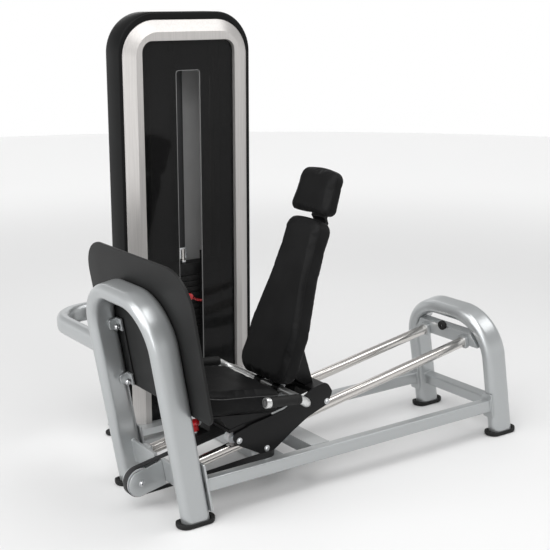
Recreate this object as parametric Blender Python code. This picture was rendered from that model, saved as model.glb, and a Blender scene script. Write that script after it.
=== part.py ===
"""Seated leg press with a side weight tower, built as separate sub-parts.

The machine is laid out with +X from the foot plate to the rear hoop, +Y towards the weight tower
and +Z up. Lengths are metres. Everything that follows the rails is placed by on_rail(s, h, y):
s runs along a rail, h stands square to it, y is across the machine.
"""
import math

import bmesh
import bpy
from mathutils import Matrix, Vector

GAP = 0.0004                      # clearance left between two pieces that touch

# Rails and frame
RAIL_ANGLE = math.radians(9.8)    # rails rise to the rear, the hoops stand square to them
RAIL_Z = 0.1554                   # height of the rails' line at x = 0
RAIL_Y = 0.115
RAIL_RADIUS = 0.0205
RAIL_END = 1.412
FRONT_HOOP_S = -0.0146
REAR_HOOP_S = 1.4635
LEG_Y = 0.225
OVAL_LENGTH = 0.106
OVAL_WIDTH = 0.058
TUBE_WALL = 0.003
HOOP_CORNER = 0.165
FRONT_HOOP_TOP = 0.659            # height of each hoop's centre line above the rails' line
REAR_HOOP_TOP = 0.104
FOOT_FLOOR = 0.0125               # thickness of rubber under a leg
SIDE_TUBE_Z = (0.113, 0.163)
SIDE_TUBE_WIDTH = 0.040
MEMBER_LENGTH = 0.045             # size along the rails of the rear members between two legs
FRONT_MEMBER_H = (-0.066, 0.0254)
FRONT_MEMBER_S = (-0.0041, 0.0079)
PLATE_THICKNESS = 0.010
PLATE_HALF_WIDTH = 0.366
PLATE_H = (0.2430, 0.7850)
BEAM_X = (0.530, 0.610)
LINK_TOP = 0.045

# Belt and its pulleys
BELT_WIDTH = 0.028
BELT_THICKNESS = 0.003
FRONT_PULLEY = (-0.0973, -0.0343)   # s and h
FRONT_PULLEY_R = 0.0545             # all pulley radii are to the middle of the belt
REDIRECT_R = 0.045
BELT_LOW_Z = 0.070
LOW_PULLEY_R = 0.035

# Weight tower
TOWER_X = 0.5250
SHELL_HALF = 0.3040
SHELL_Y = (0.640, 0.770)
SHELL_TOP = 1.728
SHELL_RIM = 0.0150
SHELL_BROW = 0.030                # height of the shell above the bezel
SHELL_BACK = 0.005
SHELL_CORNER = 0.160
BEZEL_FRONT = 0.612
BEZEL_BACK = 0.656
BEZEL_BEVEL = 0.045
WINDOW_Y = (0.630, 0.634)
WINDOW_HALF = 0.2147
WINDOW_TOP = 1.617
SLOT_HALF = 0.057
SLOT_Z = (0.250, 1.500)
BASE_TOP = 0.045
STACK_Y = 0.701
STACK_DEPTH = 0.070
STACK_HALF = 0.175
STACK_BASE = 0.2655
PLATE_PITCH = 0.025
RESTING_PLATES = 11
LIFTED_PLATES = 4
HEAD_HEIGHT = 0.050
GUIDE_OFFSET = 0.150
GUIDE_RADIUS = 0.012
SELECTOR_RADIUS = 0.011
BELT_BACK_Y = 0.7525
TOP_PULLEY_Z = 1.575

# Carriage
SIDE_PLATE_Y = 0.165
SIDE_PLATE_THICKNESS = 0.008
UPPER_ROLLER_R = 0.0215
LOWER_ROLLER_R = 0.0130
UPPER_ROLLERS = {"front": 0.243, "rear": 0.644}
LOWER_ROLLER_S = 0.352
WEB_HALF = 0.030
START_PIN_S = 0.165
SEAT_TILT = math.radians(8.0)
BACK_TILT = math.radians(19.7)
PAD_THICKNESS = 0.078
HANDLE_Y = 0.270
HANDLE_RADIUS = 0.0145
GRIP_RADIUS = 0.0195

X_AXIS = Vector((1, 0, 0))
Y_AXIS = Vector((0, 1, 0))
Z_AXIS = Vector((0, 0, 1))
ALONG = Vector((math.cos(RAIL_ANGLE), 0, math.sin(RAIL_ANGLE)))
ABOVE = Vector((-math.sin(RAIL_ANGLE), 0, math.cos(RAIL_ANGLE)))


# ---------------------------------------------------------------- helpers

def on_rail(s, h, y=0.0):
    """World point at distance s along the rails and h above their line."""
    return Vector((0, y, RAIL_Z)) + ALONG * s + ABOVE * h


def material(name, colour, roughness, metallic):
    """The named Principled material, made once."""
    found = bpy.data.materials.get(name)
    if found:
        return found
    made = bpy.data.materials.new(name)
    made.use_nodes = True
    shader = made.node_tree.nodes["Principled BSDF"]
    shader.inputs["Base Color"].default_value = (*colour, 1)
    shader.inputs["Roughness"].default_value = roughness
    shader.inputs["Metallic"].default_value = metallic
    made.diffuse_color = (*colour, 1)
    return made


def silver():
    return material("silver_powder_coat", (0.60, 0.62, 0.63), 0.38, 0.35)


def chrome():
    return material("chrome", (0.82, 0.82, 0.83), 0.08, 1.0)


def black_steel():
    return material("black_powder_coat", (0.035, 0.035, 0.037), 0.45, 0.2)


def vinyl():
    return material("black_vinyl", (0.022, 0.022, 0.023), 0.42, 0.0)


def rubber():
    return material("black_rubber", (0.015, 0.015, 0.015), 0.75, 0.0)


def plastic():
    return material("satin_black_plastic", (0.03, 0.03, 0.032), 0.35, 0.0)


def pulley_plastic():
    return material("grey_nylon", (0.45, 0.46, 0.47), 0.5, 0.0)


def brushed():
    return material("satin_aluminium", (0.62, 0.61, 0.59), 0.35, 0.9)


def smoked():
    return material("smoked_acrylic", (0.05, 0.05, 0.055), 0.08, 0.0)


def iron():
    return material("black_cast_iron", (0.03, 0.03, 0.03), 0.55, 0.3)


def red():
    return material("red_plastic", (0.55, 0.02, 0.02), 0.35, 0.0)


def finish(name, bm, skin, origin=(0, 0, 0)):
    """Turns a bmesh in world coordinates into a named object whose origin is at the given point."""
    bmesh.ops.recalc_face_normals(bm, faces=bm.faces)
    mesh = bpy.data.meshes.new(name)
    bmesh.ops.translate(bm, verts=bm.verts, vec=-Vector(origin))
    bm.to_mesh(mesh)
    bm.free()
    mesh.materials.append(skin)
    mesh.shade_smooth()
    mesh.set_sharp_from_angle(angle=math.radians(35))
    made = bpy.data.objects.new(name, mesh)
    made.location = origin
    bpy.context.scene.collection.objects.link(made)
    return made


def as_tool(tool):
    """Hides a cutter or an addition, which is not a sub-part itself."""
    tool.hide_render = True
    tool.display_type = "WIRE"
    return tool


def cut(target, tool):
    step = target.modifiers.new(tool.name, "BOOLEAN")
    step.operation = "DIFFERENCE"
    step.object = as_tool(tool)


def weld(target, tool):
    step = target.modifiers.new(tool.name, "BOOLEAN")
    step.operation = "UNION"
    step.object = as_tool(tool)


def fillet(corners, steps=5):
    """Outline through corners (u, v, radius), each rounded with an arc of its radius."""
    outline = []
    count = len(corners)
    for i, (u, v, radius) in enumerate(corners):
        here = Vector((u, v))
        if radius <= 0:
            outline.append(here)
            continue
        back = (Vector(corners[i - 1][:2]) - here).normalized()
        ahead = (Vector(corners[(i + 1) % count][:2]) - here).normalized()
        half = back.angle(ahead) / 2
        middle = here + (back + ahead).normalized() * radius / math.sin(half)
        start = here + back * radius / math.tan(half) - middle
        end = here + ahead * radius / math.tan(half) - middle
        turn = math.atan2(start.x * end.y - start.y * end.x, start.dot(end))
        for k in range(steps + 1):
            angle = turn * k / steps
            c, s = math.cos(angle), math.sin(angle)
            outline.append(middle + Vector((start.x * c - start.y * s, start.x * s + start.y * c)))
    return outline


def rectangle(u0, u1, v0, v1, radius=0.0, steps=4):
    return fillet([(u0, v0, radius), (u1, v0, radius), (u1, v1, radius), (u0, v1, radius)], steps)


def circle(radius, steps=16):
    return [Vector((radius * math.cos(2 * math.pi * k / steps), radius * math.sin(2 * math.pi * k / steps)))
            for k in range(steps)]


def flat_oval(length, width, steps=6):
    """Two half circles joined by straight sides, long along u."""
    r = width / 2
    return fillet([(-length / 2, -r, r), (length / 2, -r, r), (length / 2, r, r), (-length / 2, r, r)],
                  steps // 2)


def slab(name, outline, depth, origin, u, v, skin, edge=0.0, edge_steps=2):
    """Outline in the plane of u and v, extruded by depth along u x v; edge rounds its rims."""
    u, v = Vector(u).normalized(), Vector(v).normalized()
    w = u.cross(v)
    bm = bmesh.new()
    face = bm.faces.new([bm.verts.new(Vector(origin) + u * p.x + v * p.y) for p in outline])
    grown = bmesh.ops.extrude_face_region(bm, geom=[face])
    top = [g for g in grown["geom"] if isinstance(g, bmesh.types.BMVert)]
    bmesh.ops.translate(bm, verts=top, vec=w * depth)
    if edge > 0:
        rims = [e for e in bm.edges if abs((e.verts[0].co - e.verts[1].co).dot(w)) < 1e-6]
        bmesh.ops.bevel(bm, geom=rims, offset=edge, segments=edge_steps, profile=0.5, affect="EDGES")
    return finish(name, bm, skin)


def box(name, x, y, z, skin):
    """Box between the limits (low, high) on each axis."""
    return slab(name, rectangle(*x, *y), z[1] - z[0], (0, 0, z[0]), X_AXIS, Y_AXIS, skin)


def rail_box(name, s, h, y, skin):
    """Box that follows the rails."""
    return slab(name, rectangle(*s, *h), y[1] - y[0], on_rail(0, 0, y[1]), ALONG, ABOVE, skin)


def tangents(path):
    last = len(path) - 1
    return [(path[min(i + 1, last)] - path[max(i - 1, 0)]).normalized() for i in range(last + 1)]


def sweep(name, path, side, outline, skin, core=None, planes=(None, None)):
    """Tube along a path: outline u follows side, v is side x tangent; core makes it hollow.

    planes holds (point, normal) for a start and an end that are cut flat.
    """
    path = [Vector(p) for p in path]
    side = Vector(side)
    bm = bmesh.new()
    skins = []
    for loop in (outline, core):
        if loop is None:
            continue
        rings = []
        for i, (point, along) in enumerate(zip(path, tangents(path))):
            across = (side - along * side.dot(along)).normalized()
            other = along.cross(across)
            ring = [point + across * p.x + other * p.y for p in loop]
            plane = planes[0] if i == 0 else planes[1] if i == len(path) - 1 else None
            if plane:
                ring = [slide_to(p, along, *plane) for p in ring]
            rings.append([bm.verts.new(p) for p in ring])
        for a, b in zip(rings, rings[1:]):
            bridge(bm, a, b)
        skins.append(rings)
    for end in (0, -1):
        if core is None:
            bm.faces.new(skins[0][end])
        else:
            bridge(bm, skins[0][end], skins[1][end])
    return finish(name, bm, skin)


def slide_to(point, along, on_plane, normal):
    """The point moved along a direction onto a plane."""
    normal = Vector(normal)
    return point + along * ((Vector(on_plane) - point).dot(normal) / along.dot(normal))


def bridge(bm, a, b):
    """Quads between two rings of the same length."""
    for k in range(len(a)):
        nxt = (k + 1) % len(a)
        bm.faces.new((a[k], a[nxt], b[nxt], b[k]))


def turned(name, profile, centre, axis, skin, bored=False, steps=20):
    """Profile of (radius, height) points turned about an axis through centre."""
    frame = Matrix.Translation(Vector(centre)) @ Z_AXIS.rotation_difference(Vector(axis)).to_matrix().to_4x4()
    bm = bmesh.new()
    rings = [[bm.verts.new(frame @ Vector((p.x, p.y, height))) for p in circle(radius, steps)]
             for radius, height in profile]
    for a, b in zip(rings, rings[1:]):
        bridge(bm, a, b)
    if bored:
        bridge(bm, rings[-1], rings[0])
    else:
        bm.faces.new(rings[0])
        bm.faces.new(rings[-1])
    return finish(name, bm, skin, centre)


def rod(name, start, end, radius, skin, steps=16):
    """Plain round bar between two points."""
    start, end = Vector(start), Vector(end)
    length = (end - start).length
    return turned(name, [(radius, 0), (radius, length)], start, end - start, skin, steps=steps)


def arc(centre, radius, start, end, steps):
    """Points (u, v) on an arc, angles in degrees."""
    return [Vector((centre[0] + radius * math.cos(math.radians(start + (end - start) * k / steps)),
                    centre[1] + radius * math.sin(math.radians(start + (end - start) * k / steps))))
            for k in range(steps + 1)]


# ---------------------------------------------------------------- main frame

def hoop(name, s, top):
    """Flat-oval tube bent to a hoop, square to the rails, with open ends inside its two feet."""
    straight = top - HOOP_CORNER
    knee = LEG_Y - HOOP_CORNER
    foot = -(RAIL_Z + s * math.sin(RAIL_ANGLE) - FOOT_FLOOR) / math.cos(RAIL_ANGLE)
    side = [Vector((LEG_Y, foot)), Vector((LEG_Y, (foot + straight) / 2))]
    side += arc((knee, straight), HOOP_CORNER, 0, 90, 8)
    path = [on_rail(s, p.y, p.x) for p in side]
    path += [on_rail(s, p.y, -p.x) for p in reversed(side)]
    floor = ((0, 0, FOOT_FLOOR + GAP), Z_AXIS)
    inner = flat_oval(OVAL_LENGTH - 2 * TUBE_WALL, OVAL_WIDTH - 2 * TUBE_WALL)
    return sweep(name, path, ALONG, flat_oval(OVAL_LENGTH, OVAL_WIDTH), silver(), inner, (floor, floor))


def foot(name, s, y):
    """Rubber shoe round the end of a hoop leg, flared at the floor, with a lip at each end."""
    height = 0.021
    leg_middle = (RAIL_Z + s * math.sin(RAIL_ANGLE) - (FOOT_FLOOR + height) / 2) / math.cos(RAIL_ANGLE)
    x = on_rail(s, -leg_middle).x
    levels = [(0.136, 0.060, 0), (0.148, 0.072, 0.006), (0.150, 0.071, 0.016), (0.145, 0.069, height),
              (0.1145, 0.0612, height), (0.1145, 0.0612, FOOT_FLOOR)]
    bm = bmesh.new()
    rings = [[bm.verts.new((x + p.x, y + p.y, z)) for p in flat_oval(length, width, 8)]
             for length, width, z in levels]
    for a, b in zip(rings, rings[1:]):
        bridge(bm, a, b)
    bm.faces.new(rings[0])
    bm.faces.new(rings[-1])
    return finish(name, bm, rubber())


def leg_face(s, side):
    """Plane of the face of a hoop's legs that looks along the rails, forwards or rearwards."""
    return on_rail(s + side * (OVAL_LENGTH / 2 + GAP), 0), ALONG


def side_tube(name, y):
    """Box-section tube along the floor between the two hoops."""
    mid = sum(SIDE_TUBE_Z) / 2
    half_z, half_y = (SIDE_TUBE_Z[1] - SIDE_TUBE_Z[0]) / 2, SIDE_TUBE_WIDTH / 2
    outer = rectangle(-half_y, half_y, -half_z, half_z, 0.006, 2)
    wall = TUBE_WALL
    inner = rectangle(wall - half_y, half_y - wall, wall - half_z, half_z - wall, 0.003, 2)
    planes = (leg_face(FRONT_HOOP_S, 1), leg_face(REAR_HOOP_S, -1))
    return sweep(name, [(0.05, y, mid), (1.40, y, mid)], Y_AXIS, outer, silver(), inner, planes)


def member(name, s, h, rounding):
    """Bar across the machine between two legs."""
    reach = LEG_Y - OVAL_WIDTH / 2 - GAP
    outline = rectangle(*s, *h, rounding, 2)
    return slab(name, outline, 2 * reach, on_rail(0, 0, reach), ALONG, ABOVE, silver())


def cross_members():
    """The front plate carries the rails and has a notch for the belt; the rear one is a tube."""
    made = member("front_cross_member", FRONT_MEMBER_S, FRONT_MEMBER_H, 0.002)
    cut(made, rail_box("belt_notch", (-0.06, 0.03), (0.008, 0.05), (-0.027, 0.027), silver()))
    half = MEMBER_LENGTH / 2
    member("rear_cross_member", (REAR_HOOP_S - half, REAR_HOOP_S + half), (-0.300, -0.250), 0.006)


def rear_rail_beam():
    """Bar that carries the upper ends of the rails; its ends meet the bend of the rear hoop."""
    low, high = -0.017, 0.040
    straight = REAR_HOOP_TOP - HOOP_CORNER
    inner = HOOP_CORNER - OVAL_WIDTH / 2
    knee = LEG_Y - HOOP_CORNER

    def reach(h):
        return knee + math.sqrt(inner ** 2 - (h - straight) ** 2) - 0.001

    outline = [Vector((-reach(low), low)), Vector((reach(low), low)),
               Vector((reach(high), high)), Vector((-reach(high), high))]
    slab("rear_rail_beam", outline, MEMBER_LENGTH - 0.005, on_rail(RAIL_END + GAP, 0), Y_AXIS, ABOVE, silver())


def rail(name, y):
    start = FRONT_MEMBER_S[1] + GAP
    return rod(name, on_rail(start, 0, y), on_rail(RAIL_END, 0, y), RAIL_RADIUS, chrome(), 20)


def brace():
    """Flat-oval tube from the front hoop round to the side of the tower."""
    z, corner, width, height = 0.559, 0.150, 0.050, 0.074
    x = on_rail(FRONT_HOOP_S, (z - RAIL_Z) / math.cos(RAIL_ANGLE)).x - 0.014
    end_y = 0.672
    start = LEG_Y + OVAL_WIDTH / 2 + GAP
    path = [Vector((x, start, z))]
    path += [Vector((p.x, p.y, z)) for p in arc((x + corner, end_y - corner), corner, 180, 90, 8)]
    path.append(Vector((TOWER_X - SHELL_HALF - GAP, end_y, z)))
    inner = flat_oval(height - 2 * TUBE_WALL, width - 2 * TUBE_WALL)
    sweep("brace_tube", path, Z_AXIS, flat_oval(height, width), silver(), inner)


def foot_plate():
    """The tilted plate that the feet press on, bolted behind the front hoop's legs."""
    s = FRONT_HOOP_S + OVAL_LENGTH / 2 + GAP
    w = PLATE_HALF_WIDTH
    outline = fillet([(-w, PLATE_H[0], 0.035), (w, PLATE_H[0], 0.035),
                      (w, PLATE_H[1], 0.135), (-w, PLATE_H[1], 0.135)], 8)
    slab("foot_plate", outline, PLATE_THICKNESS, on_rail(s, 0), Y_AXIS, ABOVE, plastic(), 0.004)


def plate_strap(name, side):
    """Strap behind the foot plate with two lugs that bolt to the inside of one leg."""
    back = FRONT_HOOP_S + OVAL_LENGTH / 2
    face, lug = back - 0.005, back - 0.043
    outline = [Vector(p) for p in ((back, 0.250), (back, 0.512), (lug, 0.512), (lug, 0.466), (face, 0.466),
                                   (face, 0.294), (lug, 0.294), (lug, 0.250))]
    reach = LEG_Y - OVAL_WIDTH / 2 - 0.0025
    y = reach if side > 0 else 0.040 - reach
    slab(name, outline, 0.040, on_rail(0, 0, y), ALONG, ABOVE, silver())


def bumper():
    """Rubber stop for the carriage, on the front of the rear beam."""
    turned("carriage_bumper", [(0.014, 0), (0.019, 0.004), (0.020, 0.016), (0.016, 0.021)],
           on_rail(RAIL_END, 0.046), -ALONG, rubber(), steps=16)


def main_frame():
    hoop("front_hoop", FRONT_HOOP_S, FRONT_HOOP_TOP)
    hoop("rear_hoop", REAR_HOOP_S, REAR_HOOP_TOP)
    for end, s in (("front", FRONT_HOOP_S), ("rear", REAR_HOOP_S)):
        foot(end + "_near_foot", s, -LEG_Y)
        foot(end + "_far_foot", s, LEG_Y)
    side_tube("near_side_tube", -LEG_Y)
    side_tube("far_side_tube", LEG_Y)
    cross_members()
    rear_rail_beam()
    rail("near_rail", -RAIL_Y)
    rail("far_rail", RAIL_Y)
    reach = LEG_Y - SIDE_TUBE_WIDTH / 2 - GAP
    beam = box("centre_beam", BEAM_X, (-reach, reach), SIDE_TUBE_Z, silver())
    redirect_bracket(beam)
    box("tower_link", (TOWER_X - 0.040, TOWER_X + 0.040), (-0.030, 0.5646), (0.006, LINK_TOP), silver())
    brace()
    foot_plate()
    plate_strap("near_plate_strap", -1)
    plate_strap("far_plate_strap", 1)
    bumper()


# ---------------------------------------------------------------- belt drive

def pulley(name, centre, axis, radius, half_width, steps=24):
    """Flat-faced pulley with a hollowed web and a bore."""
    rim = radius - BELT_THICKNESS / 2 - GAP
    bore, hub, well = 0.0085, 0.015, rim - 0.008
    profile = [(rim, -half_width), (rim, half_width), (well, half_width)]
    if well - hub > 0.006:
        profile += [(well - 0.002, half_width - 0.010), (hub, half_width - 0.010)]
    profile += [(hub, half_width), (bore, half_width), (bore, -half_width)]
    made = turned(name, profile, centre, axis, pulley_plastic(), True, steps)
    return made


def low_pulley_centre():
    return Vector((TOWER_X, BELT_BACK_Y - LOW_PULLEY_R, BELT_LOW_Z + LOW_PULLEY_R))


def top_pulley_radius():
    return (BELT_BACK_Y - STACK_Y) / 2


def top_pulley_centre():
    return Vector((TOWER_X, (BELT_BACK_Y + STACK_Y) / 2, TOP_PULLEY_Z))


def redirect_centre():
    return Vector((TOWER_X - REDIRECT_R, REDIRECT_R, BELT_LOW_Z))


def front_fork():
    """Two tongues on the front member that hold the front pulley's bolt."""
    s, h = FRONT_PULLEY
    back = FRONT_MEMBER_S[0] - GAP
    outline = arc((s, h), 0.047, 250, 110, 14)
    outline += [Vector((back, h + 0.052)), Vector((back, h - 0.044))]
    made = slab("front_pulley_fork", outline, 0.054, on_rail(0, 0, 0.027), ALONG, ABOVE, silver())
    cut(made, rail_box("front_fork_gap", (s - 0.08, back - 0.008), (h - 0.08, h + 0.08), (-0.021, 0.021), silver()))
    weld(made, rod("front_pulley_bolt", on_rail(s, h, -0.033), on_rail(s, h, 0.033), 0.008, silver(), 12))


def redirect_bracket(beam):
    """Arm welded to the centre beam, with the upright pin of the pulley that turns the belt."""
    at = redirect_centre()
    arm = box("redirect_arm", (at.x - 0.030, BEAM_X[1] - 0.02), (at.y - 0.030, at.y + 0.030),
              (0.1010, SIDE_TUBE_Z[0] + 0.002), silver())
    weld(beam, arm)
    weld(beam, rod("redirect_pin", (at.x, at.y, LINK_TOP + GAP), (at.x, at.y, 0.105), 0.008, silver(), 12))


def u_fork(holder, name, at, base, tip, skin):
    """Fork welded to its holder, straddling a pulley whose axis is X, from z base to z tip."""
    inner, outer = 0.0195, 0.0245
    lift = 0.006 if base < tip else -0.006
    outline = [Vector(p) for p in ((-outer, base), (outer, base), (outer, tip), (inner, tip),
                                   (inner, base + lift), (-inner, base + lift), (-inner, tip), (-outer, tip))]
    outline = [Vector((p.x + at.x, p.y)) for p in outline]
    weld(holder, slab(name, outline, 0.030, (0, at.y + 0.015, 0), X_AXIS, Z_AXIS, skin))
    weld(holder, rod(name + "_pin", (at.x - outer - 0.002, at.y, at.z), (at.x + outer + 0.002, at.y, at.z),
                     0.008, skin, 12))


def belt_route():
    """Middle line of the belt with, at each point, the direction of its width."""
    s, h = FRONT_PULLEY
    route = [(on_rail(0.0985, h + FRONT_PULLEY_R), Y_AXIS)]
    down = -90 - math.degrees(RAIL_ANGLE)
    route += [(on_rail(p.x, p.y), Y_AXIS) for p in arc((s, h), FRONT_PULLEY_R, 90, 90 + 180 - down - 90, 14)]
    at = redirect_centre()
    start, end = route[-1][0], Vector((at.x, 0, BELT_LOW_Z))
    route += twisted(start, end, Y_AXIS, Z_AXIS)
    route += [(Vector((p.x, p.y, BELT_LOW_Z)), Z_AXIS) for p in arc((at.x, at.y), REDIRECT_R, -90, 0, 7)]
    low, top = low_pulley_centre(), top_pulley_centre()
    route += twisted(route[-1][0], Vector((low.x, low.y, BELT_LOW_Z)), Z_AXIS, -X_AXIS)
    route += [(Vector((low.x, p.x, p.y)), -X_AXIS) for p in arc((low.y, low.z), LOW_PULLEY_R, -90, 0, 7)]
    radius = top_pulley_radius()
    route += [(Vector((top.x, p.x, p.y)), -X_AXIS) for p in arc((top.y, top.z), radius, 0, 180, 10)]
    route.append((Vector((TOWER_X, STACK_Y, stack_top() + 0.060 + GAP)), -X_AXIS))
    return route


def twisted(start, end, first, last, steps=10):
    """Stretch of belt that turns a quarter about its own length, mostly near its end, without its end points."""
    along = (end - start).normalized()
    stretch = []
    for k in range(1, steps):
        share = k / steps
        turn = Matrix.Rotation(first.angle(last) * share ** 3, 3, first.cross(last))
        across = turn @ first
        stretch.append((start.lerp(end, share), (across - along * across.dot(along)).normalized()))
    return stretch


def belt():
    """Flat belt from the carriage, round the pulleys and down to the weight stack."""
    route = belt_route()
    bm = bmesh.new()
    rings = []
    for (point, across), along in zip(route, tangents([p for p, _ in route])):
        across = (across - along * across.dot(along)).normalized()
        other = along.cross(across)
        corners = ((-1, -1), (1, -1), (1, 1), (-1, 1))
        rings.append([bm.verts.new(point + across * a * BELT_WIDTH / 2 + other * b * BELT_THICKNESS / 2)
                      for a, b in corners])
    for a, b in zip(rings, rings[1:]):
        bridge(bm, a, b)
    bm.faces.new(rings[0])
    bm.faces.new(rings[-1])
    finish("drive_belt", bm, rubber())


def belt_drive():
    front_fork()
    low, top = low_pulley_centre(), top_pulley_centre()
    pulley("front_pulley", on_rail(*FRONT_PULLEY), Y_AXIS, FRONT_PULLEY_R, 0.0185)
    pulley("redirect_pulley", redirect_centre(), Z_AXIS, REDIRECT_R, 0.0165)
    pulley("low_pulley", low, X_AXIS, LOW_PULLEY_R, 0.0175)
    pulley("top_pulley", top, X_AXIS, top_pulley_radius(), 0.0175, 20)
    belt()


# ---------------------------------------------------------------- weight tower

def stack_top():
    return STACK_BASE + (RESTING_PLATES + LIFTED_PLATES) * PLATE_PITCH + HEAD_HEIGHT


def arch(half, bottom, top, corner, steps=8):
    """Upright outline with rounded upper corners, centred on the tower."""
    return fillet([(TOWER_X - half, bottom, 0), (TOWER_X + half, bottom, 0),
                   (TOWER_X + half, top, corner), (TOWER_X - half, top, corner)], steps)


def upright_slab(name, outline, y, skin, edge=0.0):
    """Outline in X and Z, extruded between two y values."""
    return slab(name, outline, y[1] - y[0], (0, y[1], 0), X_AXIS, Z_AXIS, skin, edge)


def shell():
    """Black cover: back wall and a deep rounded rim, open to the front and at the floor."""
    made = upright_slab("tower_shell", arch(SHELL_HALF, BASE_TOP + GAP, SHELL_TOP, SHELL_CORNER), SHELL_Y, plastic())
    inside = arch(SHELL_HALF - SHELL_RIM, 0, SHELL_TOP - SHELL_BROW, SHELL_CORNER - SHELL_RIM)
    cut(made, upright_slab("shell_room", inside, (SHELL_Y[0] - 0.05, SHELL_Y[1] - SHELL_BACK), plastic()))


def bezel():
    """Aluminium arch round the window, bevelled all round, standing proud of the shell."""
    half, top = SHELL_HALF - SHELL_RIM - GAP, SHELL_TOP - SHELL_BROW - GAP
    corner, bottom = SHELL_CORNER - SHELL_RIM, BASE_TOP + GAP
    outer = arch(half, bottom, top, corner)
    flat = arch(half - BEZEL_BEVEL, bottom, top - BEZEL_BEVEL, corner - BEZEL_BEVEL)
    inner = arch(WINDOW_HALF, bottom, WINDOW_TOP, 0.045)
    rounds = [(outer, BEZEL_BACK), (outer, SHELL_Y[0]), (flat, BEZEL_FRONT), (inner, BEZEL_FRONT), (inner, BEZEL_BACK)]
    bm = bmesh.new()
    rings = [[bm.verts.new((p.x, y, p.y)) for p in outline] for outline, y in rounds]
    for a, b in zip(rings, rings[1:] + rings[:1]):
        for k in range(1, len(a)):
            bm.faces.new((a[k], a[(k + 1) % len(a)], b[(k + 1) % len(a)], b[k]))
    bm.faces.new([ring[0] for ring in rings])
    bm.faces.new([ring[1] for ring in rings])
    finish("tower_bezel", bm, brushed())


def window():
    """Smoked sheet inside the bezel, with the slot for the selector pin and a notch for the belt."""
    sheet = arch(WINDOW_HALF - GAP, BASE_TOP + GAP, WINDOW_TOP - GAP, 0.045)
    made = upright_slab("tower_window", sheet, WINDOW_Y, smoked())
    wide = (WINDOW_Y[0] - 0.01, WINDOW_Y[1] + 0.01)
    slot = rectangle(TOWER_X - SLOT_HALF, TOWER_X + SLOT_HALF, *SLOT_Z, 0.012)
    cut(made, upright_slab("pin_slot", slot, wide, smoked()))
    notch = rectangle(TOWER_X - 0.030, TOWER_X + 0.030, 0, 0.110, 0.010)
    cut(made, upright_slab("belt_opening", notch, wide, smoked()))


def tower_frame():
    """Welded inner frame: two uprights, a top beam and the beam that the stack stands on."""
    y = (0.664, 0.744)
    made = upright_slab("tower_frame", arch(0.2685, BASE_TOP + GAP, 1.680, 0.120), y, black_steel())
    room = (TOWER_X - 0.2185, TOWER_X + 0.2185)
    deep = (y[0] - 0.01, y[1] + 0.01)
    cut(made, box("stack_room", room, deep, (0.238, 1.630), black_steel()))
    cut(made, box("low_room", room, deep, (0, 0.195), black_steel()))
    top = top_pulley_centre()
    u_fork(made, "top_pulley_fork", top, 1.632, top.z - 0.012, black_steel())


def tower_base():
    """Low tray with a rear bar, both standing on two rubber feet."""
    made = box("tower_base", (TOWER_X - SHELL_HALF, TOWER_X + SHELL_HALF), (0.565, 0.703), (0.0135, BASE_TOP), silver())
    weld(made, box("tower_rear_bar", (TOWER_X - 0.342, TOWER_X + 0.342), (0.702, 0.770), (0.0135, BASE_TOP), silver()))
    low = low_pulley_centre()
    u_fork(made, "low_pulley_fork", low, BASE_TOP - 0.002, low.z + 0.012, silver())


def tower_foot(name, x):
    """Rubber foot under one end of the tower's base."""
    outline = flat_oval(0.150, 0.072, 8)
    outline = [Vector((p.x + x, p.y + 0.700)) for p in outline]
    slab(name, outline, 0.0130, (0, 0, 0), X_AXIS, Y_AXIS, rubber(), 0.003, 1)


def bores(name, offsets, radius, z, skin):
    """Upright cylinders through the weight plates, as one cutter."""
    bm = bmesh.new()
    for offset in offsets:
        rings = [[bm.verts.new((TOWER_X + offset + p.x, STACK_Y + p.y, level)) for p in circle(radius, 12)]
                 for level in z]
        bridge(bm, *rings)
        bm.faces.new(rings[0])
        bm.faces.new(rings[1])
    return finish(name, bm, skin)


def plate_block(name, count, bottom):
    """Pile of weight plates with a groove at each joint, bored for the rods."""
    levels = []
    for k in range(count):
        z = bottom + k * PLATE_PITCH
        levels += [(0.0015, z), (0, z + 0.0015), (0, z + PLATE_PITCH - 0.0015), (0.0015, z + PLATE_PITCH)]
    levels[-1] = (levels[-1][0], levels[-1][1] - GAP)
    bm = bmesh.new()
    rings = []
    for inset, z in levels:
        half, deep = STACK_HALF - inset, STACK_DEPTH / 2 - inset
        if rings and abs(rings[-1][0].co.z - z) < 1e-6:
            continue
        rings.append([bm.verts.new((p.x, p.y, z)) for p in
                      rectangle(TOWER_X - half, TOWER_X + half, STACK_Y - deep, STACK_Y + deep)])
    for a, b in zip(rings, rings[1:]):
        bridge(bm, a, b)
    bm.faces.new(rings[0])
    bm.faces.new(rings[-1])
    made = finish(name, bm, iron())
    z = (bottom - 0.01, bottom + count * PLATE_PITCH + 0.01)
    cut(made, bores(name + "_guide_bores", (-GUIDE_OFFSET, GUIDE_OFFSET), GUIDE_RADIUS + 0.0015, z, iron()))
    cut(made, bores(name + "_rod_bore", (0,), SELECTOR_RADIUS + 0.0025, z, iron()))
    return made


def pin_height():
    """The selector pin is in the lowest lifted plate."""
    return STACK_BASE + (RESTING_PLATES + 0.5) * PLATE_PITCH


def pin_bore():
    """Cutter for the selector pin's hole."""
    return rod("pin_bore", (TOWER_X, 0.60, pin_height()), (TOWER_X, STACK_Y + 0.004, pin_height()), 0.0056, iron(), 10)


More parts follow.
